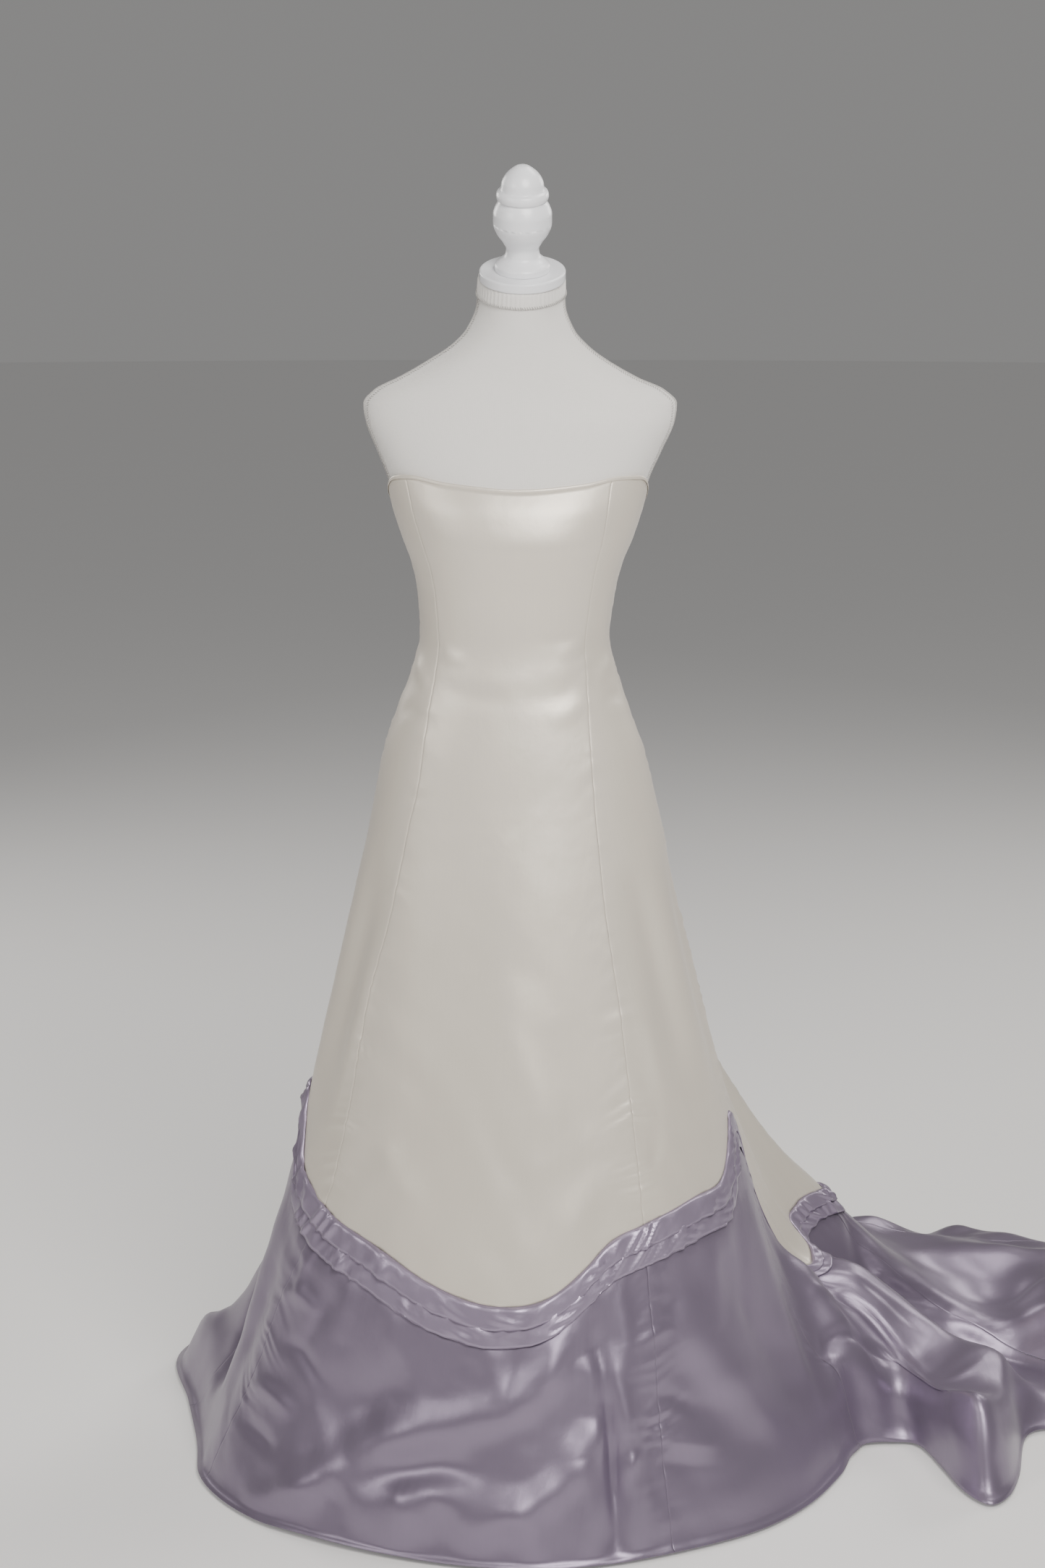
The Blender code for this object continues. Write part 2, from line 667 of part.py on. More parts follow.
def placket(ivory):
    """The plain lapped placket down the centre back, from the top edge to the hip."""
    level = np.array(BODICE_LEVELS)[:, None] * np.ones((1, 3))
    level = 0.012 + 0.96 * level
    wide = np.array([-0.008, 0.0, 0.012]) / 0.085
    azimuth = 180 + np.degrees(wide)[None, :] + 0 * level
    lift = WALL / 2 + 0.0006
    sheet("back_placket", surface(azimuth, level), normal(surface, azimuth, level), lift, lift + 0.001, ivory)


def satin_ivory():
    """Ivory duchess satin."""
    return material("satin_ivory", (0.80, 0.76, 0.67, 1), 0.38, 0.0)


def satin_lavender():
    """Lavender satin."""
    return material("satin_lavender", (0.50, 0.45, 0.58, 1), 0.32, 0.0)


def form_jersey():
    """The off-white jersey over the form."""
    return material("form_jersey", (0.78, 0.76, 0.72, 1), 0.85, 0.0)


def white_wood():
    """Turned wood, painted white."""
    return material("white_wood", (0.82, 0.82, 0.82, 1), 0.42, 0.0)


def stand_metal():
    """The stand's powder-coated steel."""
    return material("stand_metal", (0.75, 0.75, 0.75, 1), 0.45, 0.0)


def material(name, colour, roughness, metallic):
    """A Principled material."""
    made = bpy.data.materials.new(name)
    made.use_nodes = True
    shader = made.node_tree.nodes["Principled BSDF"]
    shader.inputs["Base Color"].default_value = colour
    shader.inputs["Roughness"].default_value = roughness
    shader.inputs["Metallic"].default_value = metallic
    return made


def main():
    """Clears the scene and builds the dress on its form."""
    for old in list(bpy.data.objects):
        bpy.data.objects.remove(old, do_unlink=True)
    ivory, lavender = satin_ivory(), satin_lavender()
    dress_form(form_jersey(), white_wood(), stand_metal())
    panels(ivory, lavender)
    tucks(lavender)
    neck_binding(ivory)
    placket(ivory)


if __name__ == "__main__":
    main()
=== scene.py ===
"""Finishes a strapless satin wedding dress on its dress form, as a Blender add-on that is run as a script.

Every piece of cloth is cut from one surface, found by azimuth and level. Azimuth 0 is the centre front,
90 the viewer's right and 180 the centre back; level 0 is the top edge, 1 the hip and 2 the hem. The
frame is in metres, +Z is up and the front faces -Y.
"""

import json
import math

import bpy
import numpy as np
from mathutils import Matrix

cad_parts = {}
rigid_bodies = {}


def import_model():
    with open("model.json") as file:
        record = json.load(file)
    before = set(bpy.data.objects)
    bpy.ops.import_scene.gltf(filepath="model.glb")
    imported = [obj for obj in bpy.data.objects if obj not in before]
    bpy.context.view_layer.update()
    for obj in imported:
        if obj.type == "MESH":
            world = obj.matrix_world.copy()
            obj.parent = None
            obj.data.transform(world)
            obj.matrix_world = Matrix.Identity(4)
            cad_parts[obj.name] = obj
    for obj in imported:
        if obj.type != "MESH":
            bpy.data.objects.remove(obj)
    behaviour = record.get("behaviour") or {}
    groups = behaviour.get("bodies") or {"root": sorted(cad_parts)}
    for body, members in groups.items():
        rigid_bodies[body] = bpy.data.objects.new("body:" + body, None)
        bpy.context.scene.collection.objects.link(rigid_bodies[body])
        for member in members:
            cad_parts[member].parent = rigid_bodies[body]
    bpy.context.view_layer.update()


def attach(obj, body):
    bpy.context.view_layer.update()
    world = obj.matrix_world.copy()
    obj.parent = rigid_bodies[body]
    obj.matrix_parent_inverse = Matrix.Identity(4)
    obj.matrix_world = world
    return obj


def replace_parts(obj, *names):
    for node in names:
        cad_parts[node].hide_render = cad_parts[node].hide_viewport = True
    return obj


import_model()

bl_info = {
    "name": "Wedding dress on a form",
    "version": (1, 0, 0),
    "blender": (4, 5, 0),
    "location": "View3D > Sidebar > Dress",
    "description": "Makes a strapless satin wedding dress with a pleated border and a train, on a dress form",
    "category": "Object",
}

HIP_HEIGHT = 0.900
FORM_BOTTOM = 0.790
CLOTH_ON_FLOOR = 0.006
NECK_TILT = math.radians(20.0)
NECK_TOP = (0.0, -0.012, 1.578)
POLE_RADIUS = 0.014
BASE_RADIUS = 0.150
BASE_THICK = 0.014
HEAP_FADE = 0.035
HEM_ROLL = 0.022
ROLL_DEPTH = 0.120
HIP_SOFTNESS = 0.075
OUTSIDE = 0.00075

# The figure's rings: height, middle, half width, reach to the front and to the back, and squareness.
FIGURE = [
    ("height", "middle", "half_width", "front", "back", "square"),
    (0.790, -0.009, 0.140, 0.090, 0.098, 2.2),
    (0.830, -0.009, 0.162, 0.104, 0.114, 2.2),
    (0.900, -0.009, 0.171, 0.112, 0.122, 2.2),
    (0.960, -0.011, 0.167, 0.108, 0.117, 2.2),
    (1.030, -0.012, 0.147, 0.098, 0.102, 2.2),
    (1.080, -0.011, 0.130, 0.090, 0.089, 2.2),
    (1.130, -0.010, 0.119, 0.086, 0.081, 2.2),
    (1.180, -0.008, 0.123, 0.092, 0.083, 2.2),
    (1.220, -0.007, 0.131, 0.104, 0.087, 2.2),
    (1.255, -0.006, 0.144, 0.113, 0.092, 2.2),
    (1.290, -0.006, 0.155, 0.108, 0.096, 2.25),
    (1.330, -0.005, 0.165, 0.092, 0.100, 2.3),
    (1.366, -0.004, 0.180, 0.080, 0.102, 2.3),
    (1.403, -0.003, 0.195, 0.070, 0.098, 2.2),
    (1.424, -0.003, 0.198, 0.062, 0.090, 2.0),
    (1.440, -0.004, 0.184, 0.058, 0.083, 1.9),
    (1.455, -0.006, 0.152, 0.056, 0.078, 1.9),
    (1.475, -0.006, 0.116, 0.055, 0.071, 1.9),
    (1.495, -0.004, 0.086, 0.055, 0.065, 1.95),
    (1.515, -0.003, 0.067, 0.056, 0.060, 2.0),
    (1.545, -0.002, 0.055, 0.057, 0.052, 2.0),
    (1.578, -0.001, 0.053, 0.060, 0.046, 2.0),
]

# What the middle of the dress's wall stands off the figure at the side, front and back.
EASE = [
    ("height", "side", "front", "back"),
    (0.900, 0.0140, 0.0060, 0.0060),
    (0.960, 0.0060, 0.0030, 0.0040),
    (1.030, 0.0030, 0.0022, 0.0022),
    (1.130, 0.0018, 0.0016, 0.0016),
    (1.200, 0.0022, 0.0024, 0.0018),
    (1.255, 0.0026, 0.0034, 0.0026),
    (1.300, 0.0030, 0.0032, 0.0028),
    (1.340, 0.0030, 0.0030, 0.0028),
]

# The bodice's top edge.
NECKLINE = [
    ("azimuth", "height"),
    (-180, 1.262),
    (-140, 1.270),
    (-100, 1.300),
    (-82, 1.318),
    (-62, 1.334),
    (-50, 1.336),
    (-30, 1.328),
    (0, 1.321),
    (28, 1.327),
    (46, 1.335),
    (60, 1.334),
    (82, 1.316),
    (100, 1.298),
    (140, 1.270),
]

# Each meridian of the skirt: where it ends on the floor, the point that bends its way there, how far out
# the cloth lands on the floor and how hollow its hang is.
SKIRT = [
    ("azimuth", "x", "y", "bend_x", "bend_y", "landing", "hollow"),
    (-90, -0.452, 0.040, -0.310, 0.020, 0.30, 1.35),
    (-75, -0.428, -0.100, -0.300, -0.060, 0.30, 1.35),
    (-60, -0.358, -0.205, -0.255, -0.130, 0.30, 1.33),
    (-45, -0.268, -0.268, -0.200, -0.170, 0.30, 1.30),
    (-30, -0.170, -0.314, -0.130, -0.205, 0.30, 1.25),
    (0, 0.034, -0.350, 0.015, -0.235, 0.30, 1.20),
    (30, 0.222, -0.292, 0.150, -0.205, 0.30, 1.25),
    (45, 0.308, -0.242, 0.210, -0.165, 0.30, 1.30),
    (60, 0.376, -0.172, 0.260, -0.115, 0.30, 1.33),
    (75, 0.427, -0.085, 0.295, -0.055, 0.30, 1.35),
    (90, 0.455, -0.015, 0.315, 0.000, 0.30, 1.35),
    (95, 0.474, 0.010, 0.330, 0.030, 0.31, 1.45),
    (99, 0.507, 0.014, 0.375, 0.080, 0.34, 1.70),
    (103, 0.543, 0.004, 0.490, 0.185, 0.37, 1.80),
    (107, 0.565, -0.065, 0.540, 0.265, 0.40, 1.90),
    (111, 0.583, -0.135, 0.570, 0.315, 0.43, 2.00),
    (115, 0.610, -0.174, 0.590, 0.345, 0.46, 2.00),
    (119, 0.640, -0.150, 0.610, 0.370, 0.50, 2.10),
    (123, 0.664, -0.090, 0.630, 0.400, 0.55, 2.10),
    (128, 0.695, 0.030, 0.645, 0.430, 0.61, 2.20),
    (134, 0.755, 0.060, 0.660, 0.470, 0.70, 2.20),
    (142, 0.860, 0.060, 0.680, 0.520, 0.86, 2.30),
    (152, 1.000, 0.140, 0.660, 0.580, 1.00, 2.45),
    (162, 1.060, 0.280, 0.600, 0.630, 1.04, 2.50),
    (174, 1.030, 0.460, 0.470, 0.640, 1.04, 2.50),
    (188, 0.860, 0.620, 0.300, 0.570, 1.05, 2.40),
    (204, 0.540, 0.720, 0.120, 0.500, 0.95, 2.40),
    (220, 0.160, 0.710, -0.020, 0.440, 0.85, 2.40),
    (236, -0.190, 0.620, -0.150, 0.350, 0.75, 2.40),
    (248, -0.410, 0.470, -0.230, 0.250, 0.64, 2.30),
    (257, -0.508, 0.305, -0.270, 0.160, 0.52, 2.10),
    (264, -0.475, 0.150, -0.295, 0.080, 0.36, 1.70),
]

# How deep the lavender border is, up from the hem.
BORDER = [
    ("azimuth", "depth"),
    (-90, 0.560),
    (-82, 0.530),
    (-75, 0.465),
    (-66, 0.435),
    (-56, 0.410),
    (-40, 0.380),
    (-26, 0.345),
    (-10, 0.324),
    (3, 0.335),
    (13, 0.368),
    (20, 0.396),
    (32, 0.416),
    (50, 0.438),
    (66, 0.452),
    (75, 0.490),
    (88, 0.520),
    (97, 0.480),
    (103, 0.470),
    (109, 0.490),
    (115, 0.510),
    (121, 0.525),
    (130, 0.552),
    (142, 0.636),
    (160, 0.745),
    (176, 0.720),
    (204, 0.600),
    (236, 0.540),
    (257, 0.560),
]

# The seams' azimuths down the dress.
SEAMS = [
    ("level", "front_left", "front_right", "side_left", "side_right", "back_left", "back_right"),
    (0.00, -53, 41, -90, 90, 214, 146),
    (0.40, -51, 46, -90, 90, 211, 149),
    (0.86, -42, 34, -91, 91, 213, 147),
    (1.12, -49, 32, -92, 91, 216, 145),
    (1.25, -55, 33, -92, 91, 218, 144),
    (1.50, -58, 32, -93, 92, 222, 143),
    (1.72, -70, 29, -94, 92, 226, 142),
    (2.00, -75, 25, -95, 93, 230, 142),
]

# The one large fold of the hanging cloth, and the folds that lie on the floor: three points of each crest,
# its width and its height.
FOLDS = [
    ("x0", "y0", "z0", "x1", "y1", "z1", "x2", "y2", "z2", "width", "height"),
    (-0.30, -0.28, 0.05, 0.00, -0.30, 0.10, 0.16, -0.26, 0.25, 0.045, 0.010),
]
HEAPS = [
    ("x0", "y0", "x1", "y1", "x2", "y2", "width", "height"),
    (0.400, 0.080, 0.470, 0.000, 0.610, -0.130, 0.045, 0.060),
    (0.500, 0.110, 0.570, 0.050, 0.630, -0.050, 0.100, 0.080),
    (0.480, 0.170, 0.590, 0.140, 0.650, 0.090, 0.065, 0.060),
    (0.560, 0.560, 0.680, 0.500, 0.860, 0.380, 0.080, 0.070),
    (0.700, 0.620, 0.780, 0.570, 0.880, 0.480, 0.070, 0.060),
    (0.780, 0.340, 0.810, 0.260, 0.870, 0.180, 0.050, 0.060),
    (0.400, 0.360, 0.450, 0.420, 0.500, 0.480, 0.080, 0.030),
    (-0.360, 0.150, -0.430, 0.210, -0.470, 0.270, 0.060, 0.060),
]

# Creases in the cloth: three points of the way of each by azimuth and level, its width, and its height,
# which is below nought for a trough.
CREASES = [
    ("a0", "l0", "a1", "l1", "a2", "l2", "width", "height"),
    # Across the waist, from seam to seam, and beside it
    (-44, 0.60, -20, 0.622, -2, 0.615, 0.012, -0.0013),
    (2, 0.63, 26, 0.615, 44, 0.580, 0.012, -0.0010),
    (-42, 0.55, -10, 0.575, 16, 0.560, 0.015, 0.0011),
    (12, 0.56, 28, 0.545, 44, 0.525, 0.012, 0.0008),
    (-46, 0.50, -36, 0.515, -26, 0.520, 0.007, 0.0016),
    (46, 0.48, 36, 0.490, 24, 0.495, 0.008, 0.0016),
    (44, 0.43, 30, 0.445, 12, 0.450, 0.010, -0.0014),
    (50, 0.60, 60, 0.560, 74, 0.530, 0.008, 0.0022),
    (50, 0.66, 62, 0.640, 76, 0.640, 0.008, -0.0020),
    (-52, 0.62, -62, 0.570, -76, 0.540, 0.009, 0.0020),
    (-50, 0.70, -60, 0.680, -72, 0.700, 0.009, -0.0018),
    (40, 0.62, 30, 0.660, 16, 0.690, 0.012, 0.0016),
    # Soft folds of the ivory front
    (2, 0.98, 8, 1.080, 2, 1.200, 0.060, 0.0022),
    (-24, 1.02, -20, 1.200, -34, 1.380, 0.040, -0.0030),
    (-4, 1.20, 0, 1.320, 8, 1.440, 0.022, 0.0022),
    (12, 1.26, 16, 1.400, 20, 1.560, 0.030, -0.0040),
    (-14, 1.34, -10, 1.430, -2, 1.500, 0.020, -0.0018),
    (-42, 1.44, -36, 1.500, -26, 1.540, 0.020, 0.0026),
    (-20, 1.50, -14, 1.560, -4, 1.580, 0.022, -0.0024),
    (22, 1.46, 12, 1.540, 2, 1.600, 0.024, 0.0026),
    # Long folds of the sides
    (56, 1.02, 62, 1.200, 70, 1.420, 0.026, 0.0070),
    (48, 1.06, 52, 1.220, 56, 1.420, 0.020, -0.0060),
    (80, 1.04, 81, 1.220, 84, 1.500, 0.022, -0.0050),
    (38, 1.22, 44, 1.340, 40, 1.460, 0.014, 0.0034),
    (44, 1.36, 40, 1.440, 36, 1.480, 0.010, -0.0024),
    (58, 1.40, 50, 1.500, 40, 1.560, 0.024, -0.0030),
    (-62, 1.06, -66, 1.220, -72, 1.440, 0.024, -0.0050),
    (-74, 1.02, -77, 1.220, -82, 1.500, 0.024, 0.0060),
    (-58, 1.16, -60, 1.300, -66, 1.460, 0.014, 0.0034),
    # Below the tucks at the front
    (-26, 1.66, -25, 1.720, -22, 1.780, 0.009, 0.0030),
    (-19, 1.67, -19, 1.720, -18, 1.760, 0.008, -0.0026),
    (-13, 1.68, -11, 1.740, -9, 1.780, 0.009, 0.0032),
    (-5, 1.68, -6, 1.740, -8, 1.800, 0.011, -0.0034),
    (2, 1.68, 3, 1.720, 1, 1.760, 0.010, 0.0032),
    (-33, 1.65, -34, 1.700, -33, 1.740, 0.009, 0.0024),
    (-45, 1.64, -48, 1.690, -47, 1.730, 0.012, 0.0034),
    (-52, 1.66, -56, 1.720, -60, 1.760, 0.010, -0.0030),
    (-62, 1.58, -63, 1.640, -62, 1.700, 0.012, 0.0040),
    (10, 1.67, 9, 1.710, 6, 1.750, 0.009, -0.0030),
    (22, 1.62, 22, 1.680, 20, 1.760, 0.012, 0.0036),
    (38, 1.60, 37, 1.660, 33, 1.740, 0.014, -0.0030),
    (54, 1.58, 52, 1.640, 48, 1.720, 0.016, 0.0034),
    (66, 1.56, 65, 1.640, 62, 1.740, 0.014, -0.0034),
    # The bright fold across the front of the border and the hollows beside it
    (-42, 1.955, -32, 1.850, -12, 1.805, 0.030, 0.0130),
    (-22, 1.820, -3, 1.770, 11, 1.670, 0.026, 0.0120),
    (-42, 1.965, -28, 1.885, -6, 1.905, 0.026, -0.0110),
    (-12, 1.910, 4, 1.860, 12, 1.740, 0.026, -0.0110),
    (-20, 1.970, 1, 1.905, 12, 1.780, 0.024, 0.0110),
    (11, 1.800, 13, 1.760, 12, 1.715, 0.018, 0.0080),
    (14, 1.68, 15.5, 1.860, 13, 2.00, 0.010, -0.0150),
    (18, 1.70, 19, 1.860, 18, 2.00, 0.018, 0.0100),
    (8, 1.86, 9, 1.930, 8, 2.00, 0.014, 0.0080),
    (-56, 1.960, -48, 1.930, -40, 1.900, 0.026, 0.0090),
    (-50, 1.840, -40, 1.800, -28, 1.760, 0.036, -0.0080),
    (-30, 1.995, -28, 1.950, -30, 1.920, 0.014, 0.0060),
    (-40, 1.995, -41, 1.960, -44, 1.930, 0.012, -0.0050),
    (-21, 2.00, -20, 1.965, -24, 1.930, 0.014, -0.0050),
    (-3, 2.00, -4, 1.960, -8, 1.930, 0.016, 0.0050),
    # Beside the right seam of the border
    (25, 1.84, 33, 1.860, 42, 1.880, 0.011, 0.0044),
    (25, 1.88, 32, 1.900, 44, 1.930, 0.012, -0.0040),
    (26, 1.78, 34, 1.800, 40, 1.840, 0.012, -0.0036),
    (22, 1.86, 18, 1.880, 16, 1.920, 0.010, 0.0040),
    (38, 1.66, 48, 1.780, 62, 1.900, 0.034, 0.0080),
    (30, 1.70, 40, 1.800, 50, 1.930, 0.030, -0.0070),
    (56, 1.62, 66, 1.760, 74, 1.940, 0.030, -0.0080),
    (78, 1.56, 80, 1.740, 82, 1.960, 0.026, 0.0070),
    # Beside the left seam of the border
    (-70, 1.70, -62, 1.680, -56, 1.700, 0.010, 0.0044),
    (-66, 1.76, -58, 1.760, -50, 1.800, 0.012, -0.0044),
    (-72, 1.84, -64, 1.830, -56, 1.850, 0.012, 0.0050),
    (-72, 1.90, -64, 1.900, -58, 1.920, 0.012, -0.0046),
    (-76, 1.66, -80, 1.760, -82, 1.900, 0.024, -0.0060),
    (-84, 1.56, -86, 1.740, -88, 1.960, 0.026, 0.0060),
    # Round the back, as on the sides
    (100, 1.04, 104, 1.240, 108, 1.460, 0.030, -0.0080),
    (112, 1.06, 118, 1.260, 124, 1.500, 0.034, 0.0090),
    (128, 1.04, 132, 1.260, 138, 1.520, 0.030, -0.0090),
    (154, 1.05, 156, 1.260, 160, 1.540, 0.034, 0.0090),
    (170, 1.08, 172, 1.280, 176, 1.560, 0.030, -0.0080),
    (192, 1.05, 192, 1.260, 190, 1.540, 0.034, 0.0090),
    (206, 1.04, 208, 1.260, 212, 1.500, 0.030, -0.0080),
    (228, 1.06, 230, 1.280, 234, 1.520, 0.034, 0.0090),
    (244, 1.04, 246, 1.240, 250, 1.480, 0.030, -0.0080),
    (258, 1.05, 260, 1.240, 262, 1.460, 0.026, 0.0060),
    # On the train
    (118, 1.60, 121, 1.700, 121, 1.820, 0.014, 0.0060),
    (148, 1.56, 139, 1.640, 136, 1.700, 0.020, -0.0120),
    (136, 1.69, 138, 1.715, 145, 1.750, 0.018, -0.0100),
    (94, 1.88, 101, 1.925, 118, 1.930, 0.012, -0.0070),
    (93, 1.93, 102, 1.966, 120, 1.965, 0.014, 0.0070),
    (108, 1.70, 112, 1.780, 111, 1.860, 0.008, 0.0034),
    (103, 1.74, 107, 1.810, 107, 1.890, 0.008, -0.0034),
    (114, 1.67, 117, 1.740, 119, 1.800, 0.008, -0.0036),
    (126, 1.64, 131, 1.690, 131, 1.740, 0.009, 0.0040),
    (112, 1.85, 118, 1.860, 124, 1.900, 0.008, 0.0034),
    (99, 1.80, 102, 1.860, 103, 1.920, 0.008, 0.0034),
    (124, 1.58, 128, 1.720, 130, 1.860, 0.018, -0.0090),
    (142, 1.74, 148, 1.820, 150, 1.920, 0.024, 0.0120),
    (134, 1.76, 140, 1.840, 144, 1.920, 0.020, -0.0110),
    (150, 1.66, 156, 1.800, 158, 1.960, 0.028, -0.0120),
    (164, 1.62, 168, 1.780, 166, 1.960, 0.034, 0.0120),
    (176, 1.66, 184, 1.800, 190, 1.960, 0.030, -0.0110),
    (196, 1.64, 202, 1.800, 206, 1.960, 0.034, 0.0120),
    (212, 1.66, 216, 1.800, 224, 1.960, 0.030, -0.0110),
    (226, 1.62, 232, 1.780, 238, 1.940, 0.034, 0.0120),
    (244, 1.66, 250, 1.800, 252, 1.960, 0.024, -0.0080),
    # Between the skirt and the fold that stands behind it on the left
    (267, 1.60, 266, 1.760, 268, 1.960, 0.026, -0.0240),
    (-64, 1.985, -52, 1.960, -44, 1.935, 0.016, 0.0080),
]

# How far the gathers reach at a gore's seams, down the dress, and how high they stand.
PUCKERS = [
    ("level", "reach", "height"),
    (0.00, 0.008, 0.0003),
    (0.50, 0.012, 0.0012),
    (0.70, 0.014, 0.0014),
    (1.00, 0.014, 0.0010),
    (1.30, 0.022, 0.0021),
    (1.60, 0.026, 0.0021),
    (1.75, 0.030, 0.0017),
    (2.00, 0.030, 0.0015),
]

# How far the tucks' free edges stand off, round the dress.
TUCK_LIFT = [
    ("azimuth", "lift"),
    (-100, 0.0030),
    (-84, 0.0060),
    (-70, 0.0044),
    (-40, 0.0034),
    (0, 0.0028),
    (40, 0.0030),
    (66, 0.0036),
    (80, 0.0026),
    (88, 0.0004),
    (112, 0.0004),
    (124, 0.0020),
    (180, 0.0030),
    (240, 0.0030),
]

# Gores, by the seams that they lie between.
GORES = [
    ("name", "from_seam", "to_seam", "columns"),
    ("centre_front", "front_left", "front_right", 96),
    ("side_front_right", "front_right", "side_right", 56),
    ("side_back_right", "side_right", "back_right", 130),
    ("centre_back_right", "back_right", "centre_back", 84),
    ("centre_back_left", "centre_back", "back_left", 84),
    ("side_back_left", "back_left", "side_left", 84),
    ("side_front_left", "side_left", "front_left", 56),
]
BODICE_ROWS = 64
SKIRT_ROWS = 96
BORDER_ROWS = 84
TUCK_ROWS = 9
TRIM = [
    ("name", "gores"),
    ("front", ("side_front_left", "centre_front", "side_front_right")),
    ("right", ("side_back_right", "centre_back_right")),
    ("left", ("centre_back_left", "side_back_left")),
]

# The turned finial over the neck disk, up its own axis.
FINIAL = [
    ("height", "radius"),
    (0.0133, 0.0001),
    (0.0134, 0.0350),
    (0.0193, 0.0345),
    (0.0253, 0.0290),
    (0.0323, 0.0220),
    (0.0403, 0.0205),
    (0.0493, 0.0245),
    (0.0613, 0.0325),
    (0.0733, 0.0365),
    (0.0853, 0.0365),
    (0.0953, 0.0335),
    (0.1013, 0.0300),
    (0.1028, 0.0295),
    (0.1043, 0.0315),
    (0.1093, 0.0325),
    (0.1143, 0.0310),
    (0.1168, 0.0275),
    (0.1263, 0.0255),
    (0.1353, 0.0205),
    (0.1423, 0.0130),
    (0.1463, 0.0060),
    (0.1471, 0.0001),
]
DISK = [
    ("height", "radius"),
    (0.0003, 0.0001),
    (0.0003, 0.0520),
    (0.0010, 0.0535),
    (0.0024, 0.0540),
    (0.0106, 0.0540),
    (0.0122, 0.0534),
    (0.0130, 0.0518),
    (0.0131, 0.0300),
    (0.0131, 0.0001),
]


def column(table, name):
    """One named column of a table."""
    return np.array([row[table[0].index(name)] for row in table[1:]], float)


def hermite(xs, ys, tangent, at):
    """Cubic pieces through points with the given slopes."""
    i = np.clip(np.searchsorted(xs, at, side="right") - 1, 0, len(xs) - 2)
    h = (xs[1:] - xs[:-1])[i]
    t = (at - xs[i]) / h
    start = (1 + 2 * t) * (1 - t) ** 2 * ys[i] + t * (1 - t) ** 2 * h * tangent[i]
    end = t * t * (3 - 2 * t) * ys[i + 1] + t * t * (t - 1) * h * tangent[i + 1]
    return start + end


def smooth(xs, ys, at, period=None):
    """A curve through points with no overshoot: each slope is the harmonic mean of its neighbours'."""
    at = np.asarray(at, float)
    if period:
        at = (at - xs[0]) % period + xs[0]
        xs = np.concatenate([xs[-3:] - period, xs, xs[:3] + period])
        ys = np.concatenate([ys[-3:], ys, ys[:3]])
    slope = np.diff(ys) / np.diff(xs)
    turning = slope[:-1] * slope[1:] <= 0
    mean = 2 * slope[:-1] * slope[1:] / np.where(turning, 1.0, slope[:-1] + slope[1:])
    tangent = np.concatenate([slope[:1], np.where(turning, 0.0, mean), slope[-1:]])
    return hermite(xs, ys, tangent, np.clip(at, xs[0], xs[-1]))


def rounded(xs, ys, at, period):
    """A closed curve through points: each slope is its neighbours' mean, weighted by the steps."""
    at = (np.asarray(at, float) - xs[0]) % period + xs[0]
    xs = np.concatenate([xs[-3:] - period, xs, xs[:3] + period])
    ys = np.concatenate([ys[-3:], ys, ys[:3]])
    step = np.diff(xs)
    slope = np.diff(ys) / step
    inner = (slope[:-1] * step[1:] + slope[1:] * step[:-1]) / (step[:-1] + step[1:])
    return hermite(xs, ys, np.concatenate([slope[:1], inner, slope[-1:]]), at)


def read(table, name, at):
    """The named column of a table, read at any value of its first column."""
    return smooth(column(table, table[0][0]), column(table, name), at)


def around(table, name, azimuth):
    """The named column of a table that goes all round the dress."""
    return rounded(column(table, "azimuth"), column(table, name), azimuth, 360.0)


def figure(azimuth, height, side=0.0, front=0.0, back=0.0):
    """A superellipse ring: x = half |sin|^(2/n), y = depth |cos|^(2/n), made larger by the given ease."""
    angle = np.radians(azimuth)
    s, c = np.sin(angle), np.cos(angle)
    square = read(FIGURE, "square", height)
    scale = (np.abs(s) ** square + np.abs(c) ** square) ** (-1 / square)
    half = read(FIGURE, "half_width", height) + side
    deep = np.where(c > 0, read(FIGURE, "front", height) + front, read(FIGURE, "back", height) + back)
    x = read(FIGURE, "middle", height) + half * s * scale
    return np.stack([x, -deep * c * scale, height + 0 * x], axis=-1)


def neckline(azimuth):
    """The height of the top edge at an azimuth."""
    xs, ys = column(NECKLINE, "azimuth"), column(NECKLINE, "height")
    xs, ys = np.append(xs, xs[0] + 360), np.append(ys, ys[0])
    return smooth(xs, ys, (azimuth + 180) % 360 - 180)


def bodice(azimuth, share):
    """A point of the dress from the top edge (share 0) to the hip line (share 1): the figure plus ease."""
    top = neckline(azimuth)
    height = top + (HIP_HEIGHT - top) * share
    return figure(azimuth, height, *[read(EASE, name, height) for name in ("side", "front", "back")])


